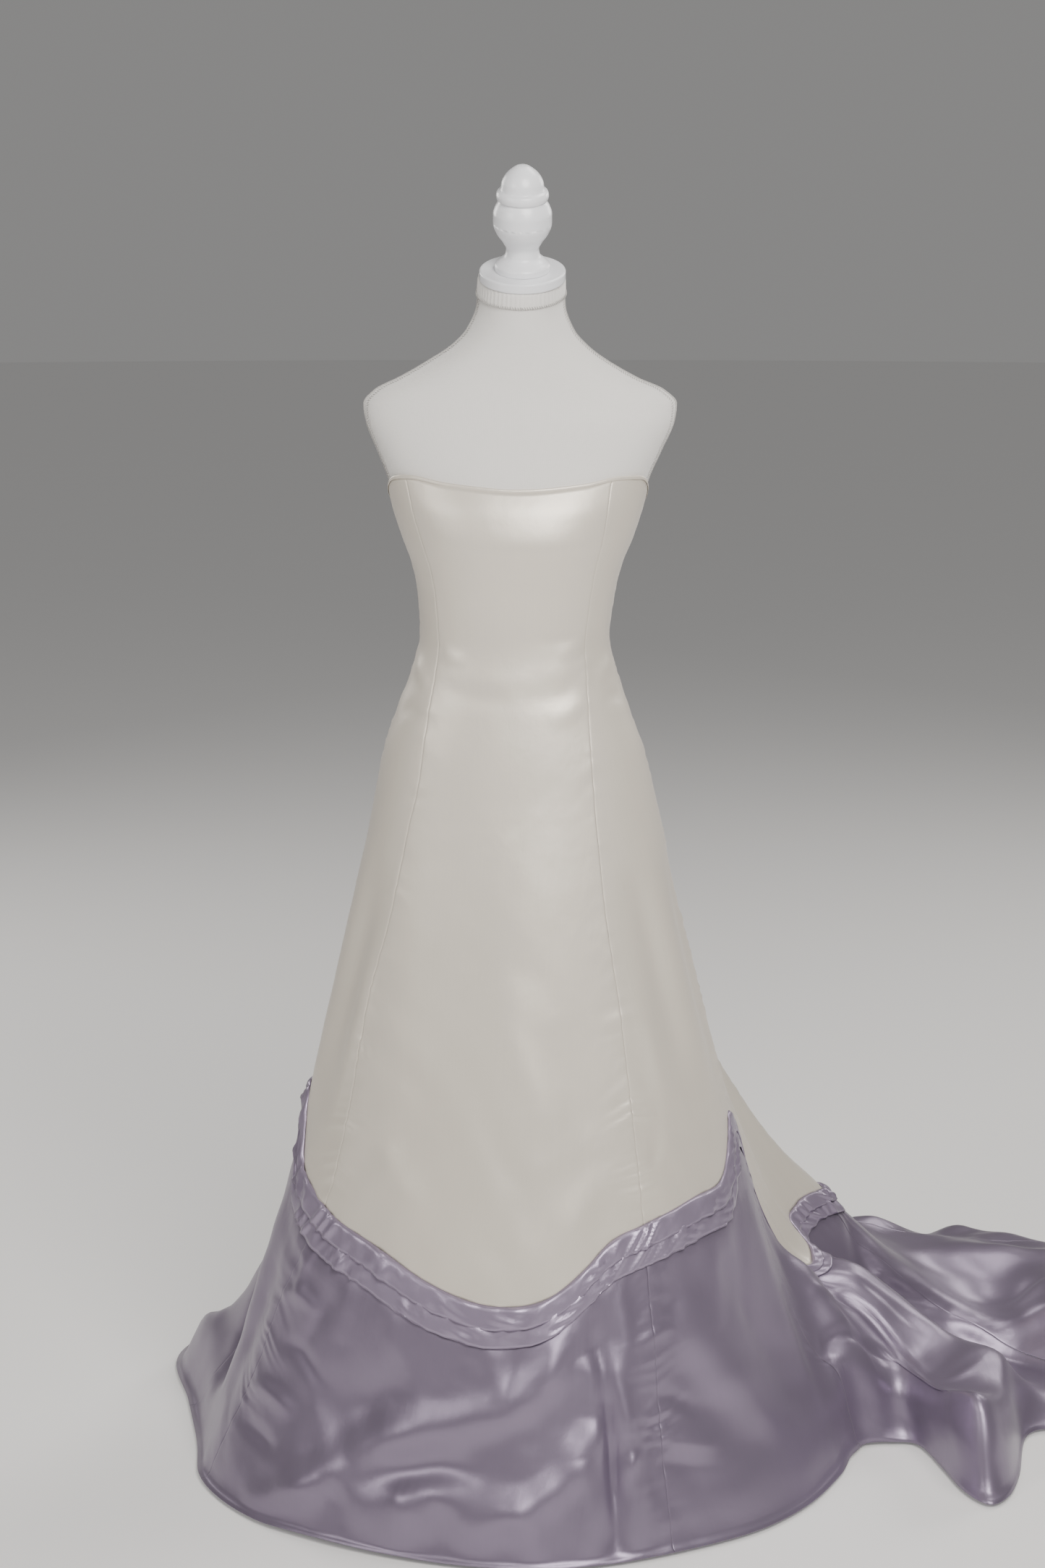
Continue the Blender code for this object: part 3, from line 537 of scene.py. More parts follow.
def meridian(azimuth, steps=40):
    """The skirt's meridians: a quadratic curve in plan from the hip past a bend to the hem, whose height
    falls as (1 - way / landing) ^ hollow. Returns its parts and its length at each step."""
    hip = bodice(azimuth, np.ones(len(azimuth)))
    share = np.linspace(0, 1, steps + 1)[:, None]
    ends, plan, speed = [], [], []
    for axis, name in enumerate("xy"):
        p0 = hip[:, axis]
        p1 = around(SKIRT, "bend_" + name, azimuth)
        p2 = around(SKIRT, name, azimuth)
        ends.append((p0, p1, p2))
        plan.append((1 - share) ** 2 * p0 + 2 * share * (1 - share) * p1 + share**2 * p2)
        speed.append(2 * (1 - share) * (p1 - p0) + 2 * share * (p2 - p1))
    speed = np.hypot(*speed) / steps
    middle = np.hypot(np.diff(plan[0], axis=0), np.diff(plan[1], axis=0))
    way = np.concatenate([np.zeros((1, len(azimuth))), np.cumsum(middle, axis=0)])
    landing = np.minimum(around(SKIRT, "landing", azimuth), 0.98 * way[-1])
    hollow = around(SKIRT, "hollow", azimuth)
    height = CLOTH_ON_FLOOR + (HIP_HEIGHT - CLOTH_ON_FLOOR) * np.clip(1 - way / landing, 0, 1) ** hollow
    stride = np.sqrt(middle**2 + np.diff(height, axis=0) ** 2)
    length = np.concatenate([np.zeros((1, len(azimuth))), np.cumsum(stride, axis=0)])
    return ends, way, speed, landing, hollow, length


def skirt(azimuth, share):
    """A point of the dress from the hip line (share 0) to the hem (share 1), by length along its meridian."""
    ends, way, speed, landing, hollow, length = meridian(azimuth)
    steps = len(length) - 1
    target = share * length[-1]
    i = np.clip((length <= target).sum(axis=0) - 1, 0, steps - 1)
    n = np.arange(len(i))
    t = (target - length[i, n]) / (length[i + 1, n] - length[i, n])
    gone = (1 + 2 * t) * (1 - t) ** 2 * way[i, n] + t * (1 - t) ** 2 * speed[i, n]
    gone = gone + t * t * (3 - 2 * t) * way[i + 1, n] + t * t * (t - 1) * speed[i + 1, n]
    u = (i + t) / steps
    x, y = ((1 - u) ** 2 * p0 + 2 * u * (1 - u) * p1 + u * u * p2 for p0, p1, p2 in ends)
    z = CLOTH_ON_FLOOR + (HIP_HEIGHT - CLOTH_ON_FLOOR) * np.clip(1 - gone / landing, 0, 1) ** hollow
    return np.stack([x, y, z], axis=-1)


def plain(azimuth, level):
    """The bodice above level 1 and the skirt below it."""
    above = level < 1
    points = np.empty(level.shape + (3,))
    points[above] = bodice(azimuth[above], np.clip(level[above], 0, 1))
    points[~above] = skirt(azimuth[~above], np.clip(level[~above] - 1, 0, 1))
    return points


def base(azimuth, level):
    """The dress's surface with no folds. Near the hip it is the weighted mean of points up and down it."""
    shape = np.shape(azimuth + 0 * level)
    azimuth, level = np.ravel(azimuth + np.zeros(shape)), np.ravel(level + np.zeros(shape))
    points = plain(azimuth, level)
    metres = np.where(level < 1, (1 - level) * 0.42, (level - 1) * 0.95)
    reach = HIP_SOFTNESS * np.clip(1 - metres / (1.9 * HIP_SOFTNESS), 0, 1)
    near = reach > 0
    total, weights = 3.0 * points[near], 3.0
    for step, weight in ((0.5, 2.0), (1.0, 1.0)):
        for side in (-1, 1):
            away = np.where(level[near] < 1, -metres[near], metres[near]) + side * step * reach[near]
            total = total + weight * plain(azimuth[near], 1 + np.where(away < 0, away / 0.42, away / 0.95))
            weights += weight
    points[near] = total / weights
    return points.reshape(*shape, 3)


def crest_distance(points, crest):
    """How near each point comes to a line of points, and the share of the way along at which it does."""
    near = np.full(points.shape[:-1], np.inf)
    share = np.zeros(points.shape[:-1])
    for k, (start, end) in enumerate(zip(crest[:-1], crest[1:])):
        step = end - start
        t = np.clip((points - start) @ step / (step @ step), 0, 1)
        apart = ((points - start - t[..., None] * step) ** 2).sum(axis=-1)
        closer = apart < near
        near = np.where(closer, apart, near)
        share = np.where(closer, (k + t) / (len(crest) - 1), share)
    return np.sqrt(near), share


def through(fold, axes, steps=20):
    """A quadratic curve through a fold's three points."""
    p0, p1, p2 = (np.array([fold[axis + str(k)] for axis in axes]) for k in range(3))
    t = np.linspace(0, 1, steps + 1)[:, None]
    middle = 2 * p1 - (p0 + p2) / 2
    return (1 - t) ** 2 * p0 + 2 * t * (1 - t) * middle + t * t * p2


def rows_of(table):
    """A table's rows as dictionaries."""
    return [dict(zip(table[0], row)) for row in table[1:]]


def folds(points):
    """How far the hanging cloth is moved out: height exp(-(distance to the crest / width)^2)."""
    out = np.zeros(points.shape[:-1])
    for fold in rows_of(FOLDS):
        apart = crest_distance(points, through(fold, "xyz"))[0]
        out = out + fold["height"] * np.exp(-((apart / fold["width"]) ** 2))
    return out


def heaps(points, level):
    """How far each point near the floor is lifted by the folds that lie there. The hem stays down."""
    lift = np.zeros(points.shape[:-1])
    for fold in rows_of(HEAPS):
        apart = crest_distance(points[..., :2], through(fold, "xy"))[0]
        lift = lift + fold["height"] * np.exp(-((apart / fold["width"]) ** 2))
    low = np.exp(-((points[..., 2] / 0.34) ** 4))
    roll = HEM_ROLL * np.exp(-(((2 - level) / ROLL_DEPTH) ** 2))
    return (lift * low + roll) * (1 - np.exp(-(((2 - level) / HEAP_FADE) ** 2)))


def normal(function, azimuth, level):
    """The direction out of a surface: the cross product of its two slopes, taken over a short step."""
    across = function(azimuth + 0.25, level) - function(azimuth - 0.25, level)
    low = np.clip(level + 0.004, 0.008, 2.0)
    out = np.cross(function(azimuth, low) - function(azimuth, low - 0.008), across)
    return out / np.linalg.norm(out, axis=-1, keepdims=True)


def surface(azimuth, level):
    """The dress's surface with its large folds."""
    points = base(azimuth, level)
    azimuth, level = azimuth + 0 * points[..., 0], level + 0 * points[..., 0]
    lift = folds(points)
    near = lift > 1e-6
    moved = points.copy()
    if near.any():
        moved[near] += lift[near][:, None] * normal(base, azimuth[near], level[near])
    near = points[..., 2] < 0.5
    moved[near, 2] += heaps(points[near], level[near])
    return moved


def creases(points):
    """How far each point is moved by the creases: height 4 way (1 - way) exp(-(distance / width)^2)."""
    out = np.zeros(points.shape[:-1])
    table = rows_of(CREASES)
    ways = np.array([through(crease, "al") for crease in table])
    crests = surface(ways[..., 0], ways[..., 1])
    depth = bpy.context.scene.dress_sizes.crease_depth
    for crease, crest in zip(table, crests):
        reach = 2.6 * crease["width"]
        near = ((points > crest.min(axis=0) - reach) & (points < crest.max(axis=0) + reach)).all(axis=-1)
        if near.any():
            apart, way = crest_distance(points[near], crest)
            ends = 4 * way * (1 - way)
            out[near] += depth * crease["height"] * ends * np.exp(-((apart / crease["width"]) ** 2))
    return out


def ripple(along, seed, wave):
    """Uneven gathers from 0 to 1: a raised cosine whose phase and height drift with the length along."""
    phase = 2 * np.pi * along / wave + 2.1 * np.sin(2 * np.pi * along / (3.7 * wave) + seed)
    phase = phase + 1.3 * np.sin(2 * np.pi * along / (9.1 * wave) + 2.3 * seed)
    size = 0.62 + 0.38 * np.sin(2 * np.pi * along / (5.3 * wave) + 1.7 * seed)
    return size * (0.5 + 0.5 * np.cos(phase)) ** 1.9


def unevenness(points):
    """Slow waves from -1 to 1 over the cloth: three sines whose directions differ."""
    x, y, z = points[..., 0], points[..., 1], points[..., 2]
    waves = np.sin(31 * x + 17 * y + 9 * z + 0.4) * np.sin(23 * z - 13 * x + 1.1)
    waves = waves + 0.7 * np.sin(57 * x - 41 * y + 1.9 * np.sin(19 * z)) * np.sin(47 * z + 29 * y)
    return (waves + 0.4 * np.sin(101 * x + 67 * z + 2.0 * np.sin(43 * y))) / 2.1


def border_level(azimuth):
    """The level of the scalloped seam between the ivory and the lavender."""
    shape = azimuth.shape
    return 2 - around(BORDER, "depth", azimuth) / meridian(azimuth.ravel())[5][-1].reshape(shape)


def seam(name, level):
    """A seam's azimuth at a level. The centre back is at 180."""
    return 180.0 + 0 * level if name == "centre_back" else read(SEAMS, name, level)


def per_degree(level):
    """About how far apart two meridians a degree apart are."""
    return np.interp(level, (0.0, 1.0, 2.0), (0.0021, 0.0028, 0.0080))


def gore_ends(gore, level):
    """The azimuths of a gore's two seams at a level, less half of the seam gap."""
    half = 0.5 * bpy.context.scene.dress_sizes.seam_gap / per_degree(level)
    start, end = seam(gore["from_seam"], level), seam(gore["to_seam"], level)
    start = np.where(end < start, start - 360, start)
    return start + half, end - half


def gore_azimuth(gore, share, level):
    """The azimuth of a point of a gore. Near its seams the columns are closer together."""
    start, end = gore_ends(gore, level)
    return start + share * (end - start)


def shares(columns):
    """Column positions from 0 to 1, closer together at both ends: x - 0.86 sin(2 pi x) / (2 pi)."""
    x = np.linspace(0, 1, columns + 1)
    return x - 0.86 * np.sin(2 * np.pi * x) / (2 * np.pi)


def seam_levels(gore, share):
    """The level of the scalloped seam at each of a gore's columns."""
    level = np.full(len(share), 1.6)
    for _ in range(6):
        level = border_level(gore_azimuth(gore, share, level))
    return level


def running(points, axis):
    """The length along the rows (axis 1) or down the columns (axis 0) of a grid of points."""
    steps = np.linalg.norm(np.diff(points, axis=axis), axis=2)
    zero = np.zeros((1, steps.shape[1]) if axis == 0 else (steps.shape[0], 1))
    return np.concatenate([zero, np.cumsum(steps, axis=axis)], axis=axis)


def relief(gore, points, level, seeds=(1.0, 2.0)):
    """How far a gore is moved out: creases, gathers by its two seams and slow unevenness."""
    sizes = bpy.context.scene.dress_sizes
    across = running(points, 1)
    down = running(points, 0)
    reach, height = read(PUCKERS, "reach", level), read(PUCKERS, "height", level)
    out = creases(points)
    height = height * np.interp(level, (1.2, 1.5), (1, 0.35)) if "back" in gore["name"] else height
    for apart, seed in ((across, seeds[0]), (across[:, -1:] - across, seeds[1])):
        slant = 0.3 * np.sin(17 * down + seed)
        gathers = ripple(down + slant * apart, seed, 0.021) + 0.5 * ripple(down - 0.5 * apart, seed + 3, 0.034)
        out = out + sizes.seam_gather * height * gathers * np.exp(-((apart / reach) ** 1.5))
        out = out - 0.00035 * np.exp(-((apart / 0.0012) ** 2))
    calm = np.clip((level - 0.95) / 0.4, 0.10, 1) * np.interp(level, (1.3, 1.8), (1.0, 1.9))
    return out + 0.0010 * calm * unevenness(points)


def put_mesh(name, points, faces, material, uvs=None, ring=0.0):
    """A smooth-shaded object from an array of points and an array of four-cornered faces. Where it is a
    ring, the faces that close it take up its cloth coordinates once more round, by the length given."""
    mesh = bpy.data.meshes.new(name)
    mesh.vertices.add(len(points))
    mesh.vertices.foreach_set("co", np.ascontiguousarray(points, np.float32).ravel())
    mesh.loops.add(faces.size)
    mesh.loops.foreach_set("vertex_index", np.ascontiguousarray(faces, np.int32).ravel())
    mesh.polygons.add(len(faces))
    mesh.polygons.foreach_set("loop_start", np.arange(0, faces.size, 4, dtype=np.int32))
    mesh.polygons.foreach_set("use_smooth", np.ones(len(faces), bool))
    mesh.update(calc_edges=True)
    if uvs is not None:
        corners = uvs[faces]
        wide = np.ptp(uvs[:, 0])
        left = corners[..., 0] < corners[..., 0].max(axis=1, keepdims=True) - 0.7 * wide
        corners[..., 0] += np.where(left, ring, 0.0)
        layer = mesh.uv_layers.new(name="UVMap")
        layer.data.foreach_set("uv", np.ascontiguousarray(corners, np.float32).ravel())
    mesh.validate()
    mesh.materials.append(material)
    made = bpy.data.objects.new(name, mesh)
    bpy.context.scene.collection.objects.link(made)
    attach(made, "root")
    return made


def grid_faces(rows, columns, ring=False):
    """The corners of the faces of a grid, turned to face out when rows run down and columns run right."""
    index = np.arange(rows * columns).reshape(rows, columns)
    if ring:
        index = np.concatenate([index, index[:, :1]], axis=1)
    corners = (index[:-1, :-1], index[1:, :-1], index[1:, 1:], index[:-1, 1:])
    return index, np.stack(corners, -1).reshape(-1, 4)


def cloth(name, points, out, low, high, material, uvs, ring=False):
    """A closed sheet: the grid moved out by high, the grid moved out by low, and a rim between them."""
    rows, columns = points.shape[:2]
    index, front = grid_faces(rows, columns, ring)
    count = rows * columns
    high, low = np.broadcast_to(high, (rows, columns)), np.broadcast_to(low, (rows, columns))
    both = [(points + high[..., None] * out).reshape(-1, 3), (points + low[..., None] * out).reshape(-1, 3)]
    edges = [(index[0, :-1], index[0, 1:]), (index[-1, 1:], index[-1, :-1])]
    if not ring:
        edges += [(index[1:, 0], index[:-1, 0]), (index[:-1, -1], index[1:, -1])]
    faces = [front, front[:, ::-1] + count]
    faces += [np.stack([a, b, b + count, a + count], -1) for a, b in edges]
    flat = np.concatenate([uvs.reshape(-1, 2)] * 2)
    once = float(np.ptp(uvs[..., 0])) * columns / (columns - 1) if ring else 0.0
    return put_mesh(name, np.concatenate(both), np.concatenate(faces), material, flat, once)


def grid_normals(points):
    """The directions out of a grid, from the steps to its neighbours."""
    out = np.cross(np.gradient(points, axis=0), np.gradient(points, axis=1))
    return out / np.maximum(np.linalg.norm(out, axis=-1, keepdims=True), 1e-12)


def declare(points, rests_on):
    """Works out the size that a sheet was cut to: its greatest width and length, and its area. Nothing is returned or
    kept.
    """
    sides = points[:-1, :-1], points[:-1, 1:], points[1:, 1:], points[1:, :-1]
    cross = np.cross(sides[2] - sides[0], sides[3] - sides[1])
    area = 0.5 * np.linalg.norm(cross, axis=-1).sum()
    width = running(points, 1)[:, -1].max()
    length = running(points, 0)[-1].max()
    area = min(max(area, 0.3001 * width * length), width * length)


class Value:
    """A shader socket on which Python's arithmetic adds Math nodes."""

    def __init__(self, shader, socket):
        self.shader, self.socket = shader, socket

    def _math(self, operation, first, second):
        return self.shader.node("ShaderNodeMath", {"operation": operation}, {0: first, 1: second})

    def __add__(self, other):
        return self._math("ADD", self, other)

    def __radd__(self, other):
        return self._math("ADD", other, self)

    def __sub__(self, other):
        return self._math("SUBTRACT", self, other)

    def __rsub__(self, other):
        return self._math("SUBTRACT", other, self)

    def __mul__(self, other):
        return self._math("MULTIPLY", self, other)

    def __rmul__(self, other):
        return self._math("MULTIPLY", other, self)

    def __pow__(self, other):
        return self._math("POWER", self, other)


class Shader:
    """A material and the one method that adds any node to it."""

    def __init__(self, name, finish):
        self.material = bpy.data.materials.new(name)
        self.material.use_nodes = True
        self.tree = self.material.node_tree
        self.surface = self.tree.nodes["Principled BSDF"]
        self.place = self.node("ShaderNodeTexCoord", {}, {}, "Object")
        for socket, value in finish.items():
            self.surface.inputs[socket].default_value = value

    def node(self, kind, settings, values, output=0):
        """Adds a node, sets its settings, then its sockets' values or links. Returns the named output."""
        made = self.tree.nodes.new(kind)
        for name, value in settings.items():
            if name == "stops":
                ramp = made.color_ramp.elements
                for stop, (position, colour) in zip(ramp, value):
                    stop.position, stop.color = position, colour
            else:
                setattr(made, name, value)
        for name, value in values.items():
            if isinstance(value, Value):
                self.tree.links.new(value.socket, made.inputs[name])
            else:
                made.inputs[name].default_value = value
        return Value(self, made.outputs[output])

    def uv(self):
        """The piece's own cloth coordinates, in metres."""
        return self.node("ShaderNodeUVMap", {"uv_map": "UVMap"}, {})

    def scaled(self, vector, scale):
        """A vector times a scale for each axis."""
        return self.node("ShaderNodeVectorMath", {"operation": "MULTIPLY"}, {0: vector, 1: scale})

    def noise(self, vector, scale, detail=3.0, output=0):
        """Noise over a vector."""
        values = {"Vector": vector, "Scale": scale, "Detail": detail, "Roughness": 0.55}
        return self.node("ShaderNodeTexNoise", {}, values, output)

    def mix(self, factor, first, second):
        """A colour between two colours."""
        values = {"Factor": factor, "A": first, "B": second}
        made = self.tree.nodes.new("ShaderNodeMix")
        made.data_type = "RGBA"
        for name, value in values.items():
            socket = made.inputs[{"Factor": 0, "A": 6, "B": 7}[name]]
            if isinstance(value, Value):
                self.tree.links.new(value.socket, socket)
            else:
                socket.default_value = value
        return Value(self, made.outputs[2])

    def bump(self, height, strength, distance):
        """A bump from a height."""
        values = {"Height": height, "Strength": strength, "Distance": distance}
        return self.node("ShaderNodeBump", {}, values)

    def finish(self, colour=None, roughness=None, bump=None):
        """Links what changes over the surface."""
        for name, value in (("Base Color", colour), ("Roughness", roughness), ("Normal", bump)):
            if value is not None:
                self.tree.links.new(value.socket, self.surface.inputs[name])
        return self.material


def tint(colour, factor):
    """A colour made lighter or darker."""
    return (colour[0] * factor, colour[1] * factor, colour[2] * factor, 1.0)


def satin(name, colour, metallic, roughness, sheen):
    """Duchess satin: warp threads that run down the cloth, faint slubs, and a soft hand."""
    finish = {
        "Metallic": metallic,
        "Sheen Weight": sheen,
        "Sheen Roughness": 0.35,
        "Sheen Tint": (1.0, 0.99, 1.0, 1.0),
        "Specular IOR Level": 0.35,
    }
    shader = Shader(name, finish)
    uv = shader.uv()
    slubs = shader.noise(shader.scaled(uv, (420.0, 9.0, 1.0)), 1.0, 2.0)
    threads = shader.noise(shader.scaled(uv, (2600.0, 340.0, 1.0)), 1.0, 1.0)
    hand = shader.noise(shader.scaled(uv, (1.0, 0.8, 1.0)), 30.0, 3.0)
    drape = shader.noise(shader.scaled(uv, (1.0, 0.6, 1.0)), 9.0, 2.0)
    crumple = shader.noise(shader.scaled(uv, (1.0, 0.45, 1.0)), 75.0, 4.0)
    patches = shader.noise(shader.place, 5.5, 4.0)
    mottle = patches * 0.7 + slubs * 0.3
    base_colour = shader.mix(mottle, tint(colour, 0.93), tint(colour, 1.06))
    rough = mottle * 0.12 + (roughness - 0.06)
    height = threads * 0.00010 + slubs * 0.00005 + crumple * 0.00022 + hand * 0.0008 + drape * 0.0022
    return shader.finish(base_colour, rough, shader.bump(height, 0.6, 1.0))


def jersey(name, colour):
    """Cotton jersey: fine wales down the cloth, broken by the rows of loops."""
    finish = {"Roughness": 0.85, "Sheen Weight": 0.35, "Sheen Roughness": 0.5, "Specular IOR Level": 0.25}
    shader = Shader(name, finish)
    uv = shader.uv()
    wales = shader.node("ShaderNodeTexWave", {"bands_direction": "X"}, {"Vector": uv, "Scale": 190.0})
    rows = shader.node("ShaderNodeTexWave", {"bands_direction": "Y"}, {"Vector": uv, "Scale": 260.0})
    fluff = shader.noise(uv, 900.0, 3.0)
    patches = shader.noise(shader.place, 9.0, 3.0)
    knit = wales * rows
    shade = shader.mix(knit * 0.35 + fluff * 0.35 + patches * 0.3, tint(colour, 0.90), tint(colour, 1.05))
    height = knit * 0.00025 + fluff * 0.00020
    return shader.finish(shade, None, shader.bump(height, 0.7, 1.0))


def painted(name, colour, roughness, grain):
    """Paint over turned wood or steel: brushed unevenness, and the grain that still shows."""
    shader = Shader(name, {"Coat Weight": 0.35, "Coat Roughness": 0.18})
    waves = shader.noise(shader.scaled(shader.place, (1.0, 1.0, grain)), 60.0, 4.0)
    wear = shader.noise(shader.place, 22.0, 5.0)
    shade = shader.mix(wear, tint(colour, 0.94), tint(colour, 1.03))
    rough = wear * 0.16 + (roughness - 0.08)
    return shader.finish(shade, rough, shader.bump(waves * 0.00035, 0.5, 1.0))


def materials():
    """The finishes, made once."""
    known = bpy.data.materials
    if "satin_ivory_finish" not in known:
        colours = bpy.context.scene.dress_colours
        satin("satin_ivory_finish", colours.ivory, 0.30, 0.40, 0.15)
        satin("satin_lavender_finish", colours.lavender, 0.58, 0.37, 0.12)
        # The tucks' satin is the border's lavender made 1.28 times lighter: a painted highlight for the light the tucks
        # catch, not a different cloth.
        satin("satin_tuck_finish", tint(colours.lavender, 1.28)[:3], 0.50, 0.34, 0.18)
        jersey("jersey_finish", colours.jersey)
        jersey("thread_finish", tint(colours.jersey, 0.55)[:3])
        painted("wood_finish", colours.wood, 0.38, 0.25)
        painted("metal_finish", colours.metal, 0.45, 1.0)
    return {name[:-7]: known[name] for name in known.keys() if name.endswith("_finish")}


def gore_grid(gore, level, share):
    """A gore's points, the directions out of them, and its cloth coordinates."""
    azimuth = gore_azimuth(gore, share + 0 * level, level)
    points = surface(azimuth, level)
    down = running(points, 0)
    middle = points.shape[1] // 2
    across = running(points, 1)
    uvs = np.stack([across - across[:, middle : middle + 1], down], axis=-1)
    return azimuth, points, grid_normals(points), uvs


def gore_seeds(gore):
    """The numbers that set how the gathers fall at a gore's two seams."""
    names = SEAMS[0] + ("centre_back",)
    return names.index(gore["from_seam"]) * 1.9, names.index(gore["to_seam"]) * 1.9


def tuck_rows(gore, share):
    """The level of the scalloped seam at a gore's columns and what one metre down is as a level."""
    seam_row = seam_levels(gore, share)
    length = meridian(gore_azimuth(gore, share, seam_row))[5][-1]
    return seam_row, 1 / length


def make_ivory(gore):
    """One gore's ivory piece, from the top edge to the scalloped seam."""
    sizes = bpy.context.scene.dress_sizes
    share = shares(gore["columns"])
    low, metre = tuck_rows(gore, share)
    low = low + 0.0012 * metre
    upper = np.linspace(0, 1, BODICE_ROWS + 1)[:, None] + 0 * low
    part = np.linspace(0, 1, SKIRT_ROWS + 1)[1:, None]
    part = part + 0.5 * np.sin(np.pi * part) * part * (1 - part)
    level = np.concatenate([upper, 1 + (low - 1) * part])
    _, points, out, uvs = gore_grid(gore, level, share)
    lift = relief(gore, points, level, gore_seeds(gore))
    points = points + lift[..., None] * out
    out = grid_normals(points)
    name = "ivory_" + gore["name"]
    thick = sizes.cloth_thickness
    material = materials()["satin_ivory"]
    piece = cloth(name + "_satin", points, out, OUTSIDE - thick, OUTSIDE, material, uvs)
    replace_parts(piece, name)
    declare(points, ["form_body_cover"])


def make_border(gore):
    """One gore's lavender border, from the scalloped seam to the hem."""
    sizes = bpy.context.scene.dress_sizes
    share = shares(gore["columns"])
    top, metre = tuck_rows(gore, share)
    part = np.linspace(0, 1, BORDER_ROWS + 1)[:, None]
    level = top + (2 - top) * (part + 0.06 * np.sin(2 * np.pi * part))
    _, points, out, uvs = gore_grid(gore, level, share)
    below = (level - top) / metre
    lift = relief(gore, points, level, gore_seeds(gore))
    under = 2 * sizes.tuck_width - 2 * sizes.tuck_lap
    along = running(points, 1)
    gathers = ripple(along + gore_seeds(gore)[0], 1.2, 0.026) * np.exp(-(((below - under) / 0.035) ** 2))
    lift = lift + 0.0012 * sizes.seam_gather * gathers
    lift = lift - 0.0022 * np.exp(-(((below - 0.5 * under) / (0.5 * under)) ** 4))
    lift = lift * (1 - 0.8 * np.exp(-(((2 - level) / metre / 0.012) ** 2)))
    points = points + lift[..., None] * out
    points[..., 2] = np.maximum(points[..., 2], 0.0022)
    out = grid_normals(points)
    name = "border_" + gore["name"]
    thick = sizes.cloth_thickness
    material = materials()["satin_lavender"]
    piece = cloth(name + "_satin", points, out, OUTSIDE - thick, OUTSIDE, material, uvs)
    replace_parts(piece, name)
    declare(points, ["floor"])


def make_tucks(row, which):
    """A length of one of the two tucks. It stands off at its free edge and is gathered at its seam."""
    sizes = bpy.context.scene.dress_sizes
    by_name = {gore["name"]: gore for gore in rows_of(GORES)}
    lower = which == "lower"
    start = sizes.tuck_width - 2 * sizes.tuck_lap if lower else -0.0006
    width = sizes.tuck_width
    part = np.linspace(0, 1, TUCK_ROWS)[:, None]
    grids, azimuths = [], []
    for key in row["gores"]:
        gore = by_name[key]
        share = shares(gore["columns"])
        top, metre = tuck_rows(gore, share)
        level = top + (start + part * width) * metre
        azimuth, points, out, _ = gore_grid(gore, level, share)
        lift = creases(points) + 0.0012 * unevenness(points)
        grids.append((points + lift[..., None] * out, out))
        azimuths.append(azimuth)
    points = np.concatenate([grid[0] for grid in grids], axis=1)
    out = np.concatenate([grid[1] for grid in grids], axis=1)
    azimuth = np.concatenate(azimuths, axis=1)
    along = running(points, 1)
    stand = around(TUCK_LIFT, "lift", azimuth)
    seed = 0.6 if lower else 2.9
    gathers = ripple(along + 0.3 * part * width, seed, 0.019)
    gathers = gathers + 0.7 * ripple(along - 0.5 * part * width, seed + 2, 0.033)
    under = OUTSIDE + (0.0004 if lower else 0.0017)
    body = np.sin(np.pi * np.clip(part * 1.1, 0, 1)) ** 0.7
    high = under + 0.0008 + stand * part**1.5 * (0.25 + 0.75 * gathers)
    calm = 1 - 0.85 * np.exp(-(((azimuth - 102) / 19) ** 4))
    high = high + 0.0040 * sizes.seam_gather * calm * gathers * (0.3 + 0.7 * body)
    high = high - (0.0010 if lower else 0.0024) * (1 - np.clip(part * 6, 0, 1)) ** 2
    uvs = np.stack([along, part * width + 0 * along], axis=-1)
    name = which + "_tuck_" + row["name"]
    points = points + high[..., None] * out
    out = grid_normals(points)
    thick = sizes.cloth_thickness
    # The tucks take the lavender with a painted highlight: the same cloth as the border, made lighter where the tucks
    # catch the light.
    material = materials()["satin_tuck"]
    piece = cloth(name + "_satin", points, out, -thick, 0.0, material, uvs)
    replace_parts(piece, name)
    declare(points, ["border_" + key + "_satin" for key in row["gores"]])


def make_binding():
    """The narrow bound edge, folded over the top of the bodice: a profile carried round the neckline."""
    azimuth = np.linspace(-180, 180, 361)[:-1]
    profile = [
        (0.0011, -0.0024),
        (0.0013, -0.0010),
        (0.0013, 0.0006),
        (0.0010, 0.0016),
        (0.0003, 0.0021),
        (-0.0005, 0.0016),
        (-0.0009, 0.0006),
        (-0.0010, -0.0010),
        (-0.0010, -0.0024),
    ]
    edge = surface(azimuth, np.zeros(len(azimuth)))
    out = normal(surface, azimuth, np.full(len(azimuth), 0.004))
    out[:, 2] = 0
    out = out / np.linalg.norm(out, axis=-1, keepdims=True)
    points = np.array([edge + away * out + np.array([0, 0, up]) for away, up in profile])[::-1]
    around_way = running(points, 1)
    points = points + 0.00025 * (ripple(around_way, 0.8, 0.019) - 0.4)[..., None] * out
    down = running(points, 0)
    material = materials()["satin_ivory"]
    uvs = np.stack([around_way, down], axis=-1)
    both = grid_normals(points)
    piece = cloth("neck_binding_satin", points[::-1], -both[::-1], -0.0004, 0.0, material, uvs, True)
    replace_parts(piece, "neck_binding")
    closed = np.concatenate([points, points[:, :1]], axis=1)
    declare(closed, ["ivory_centre_front_satin"])


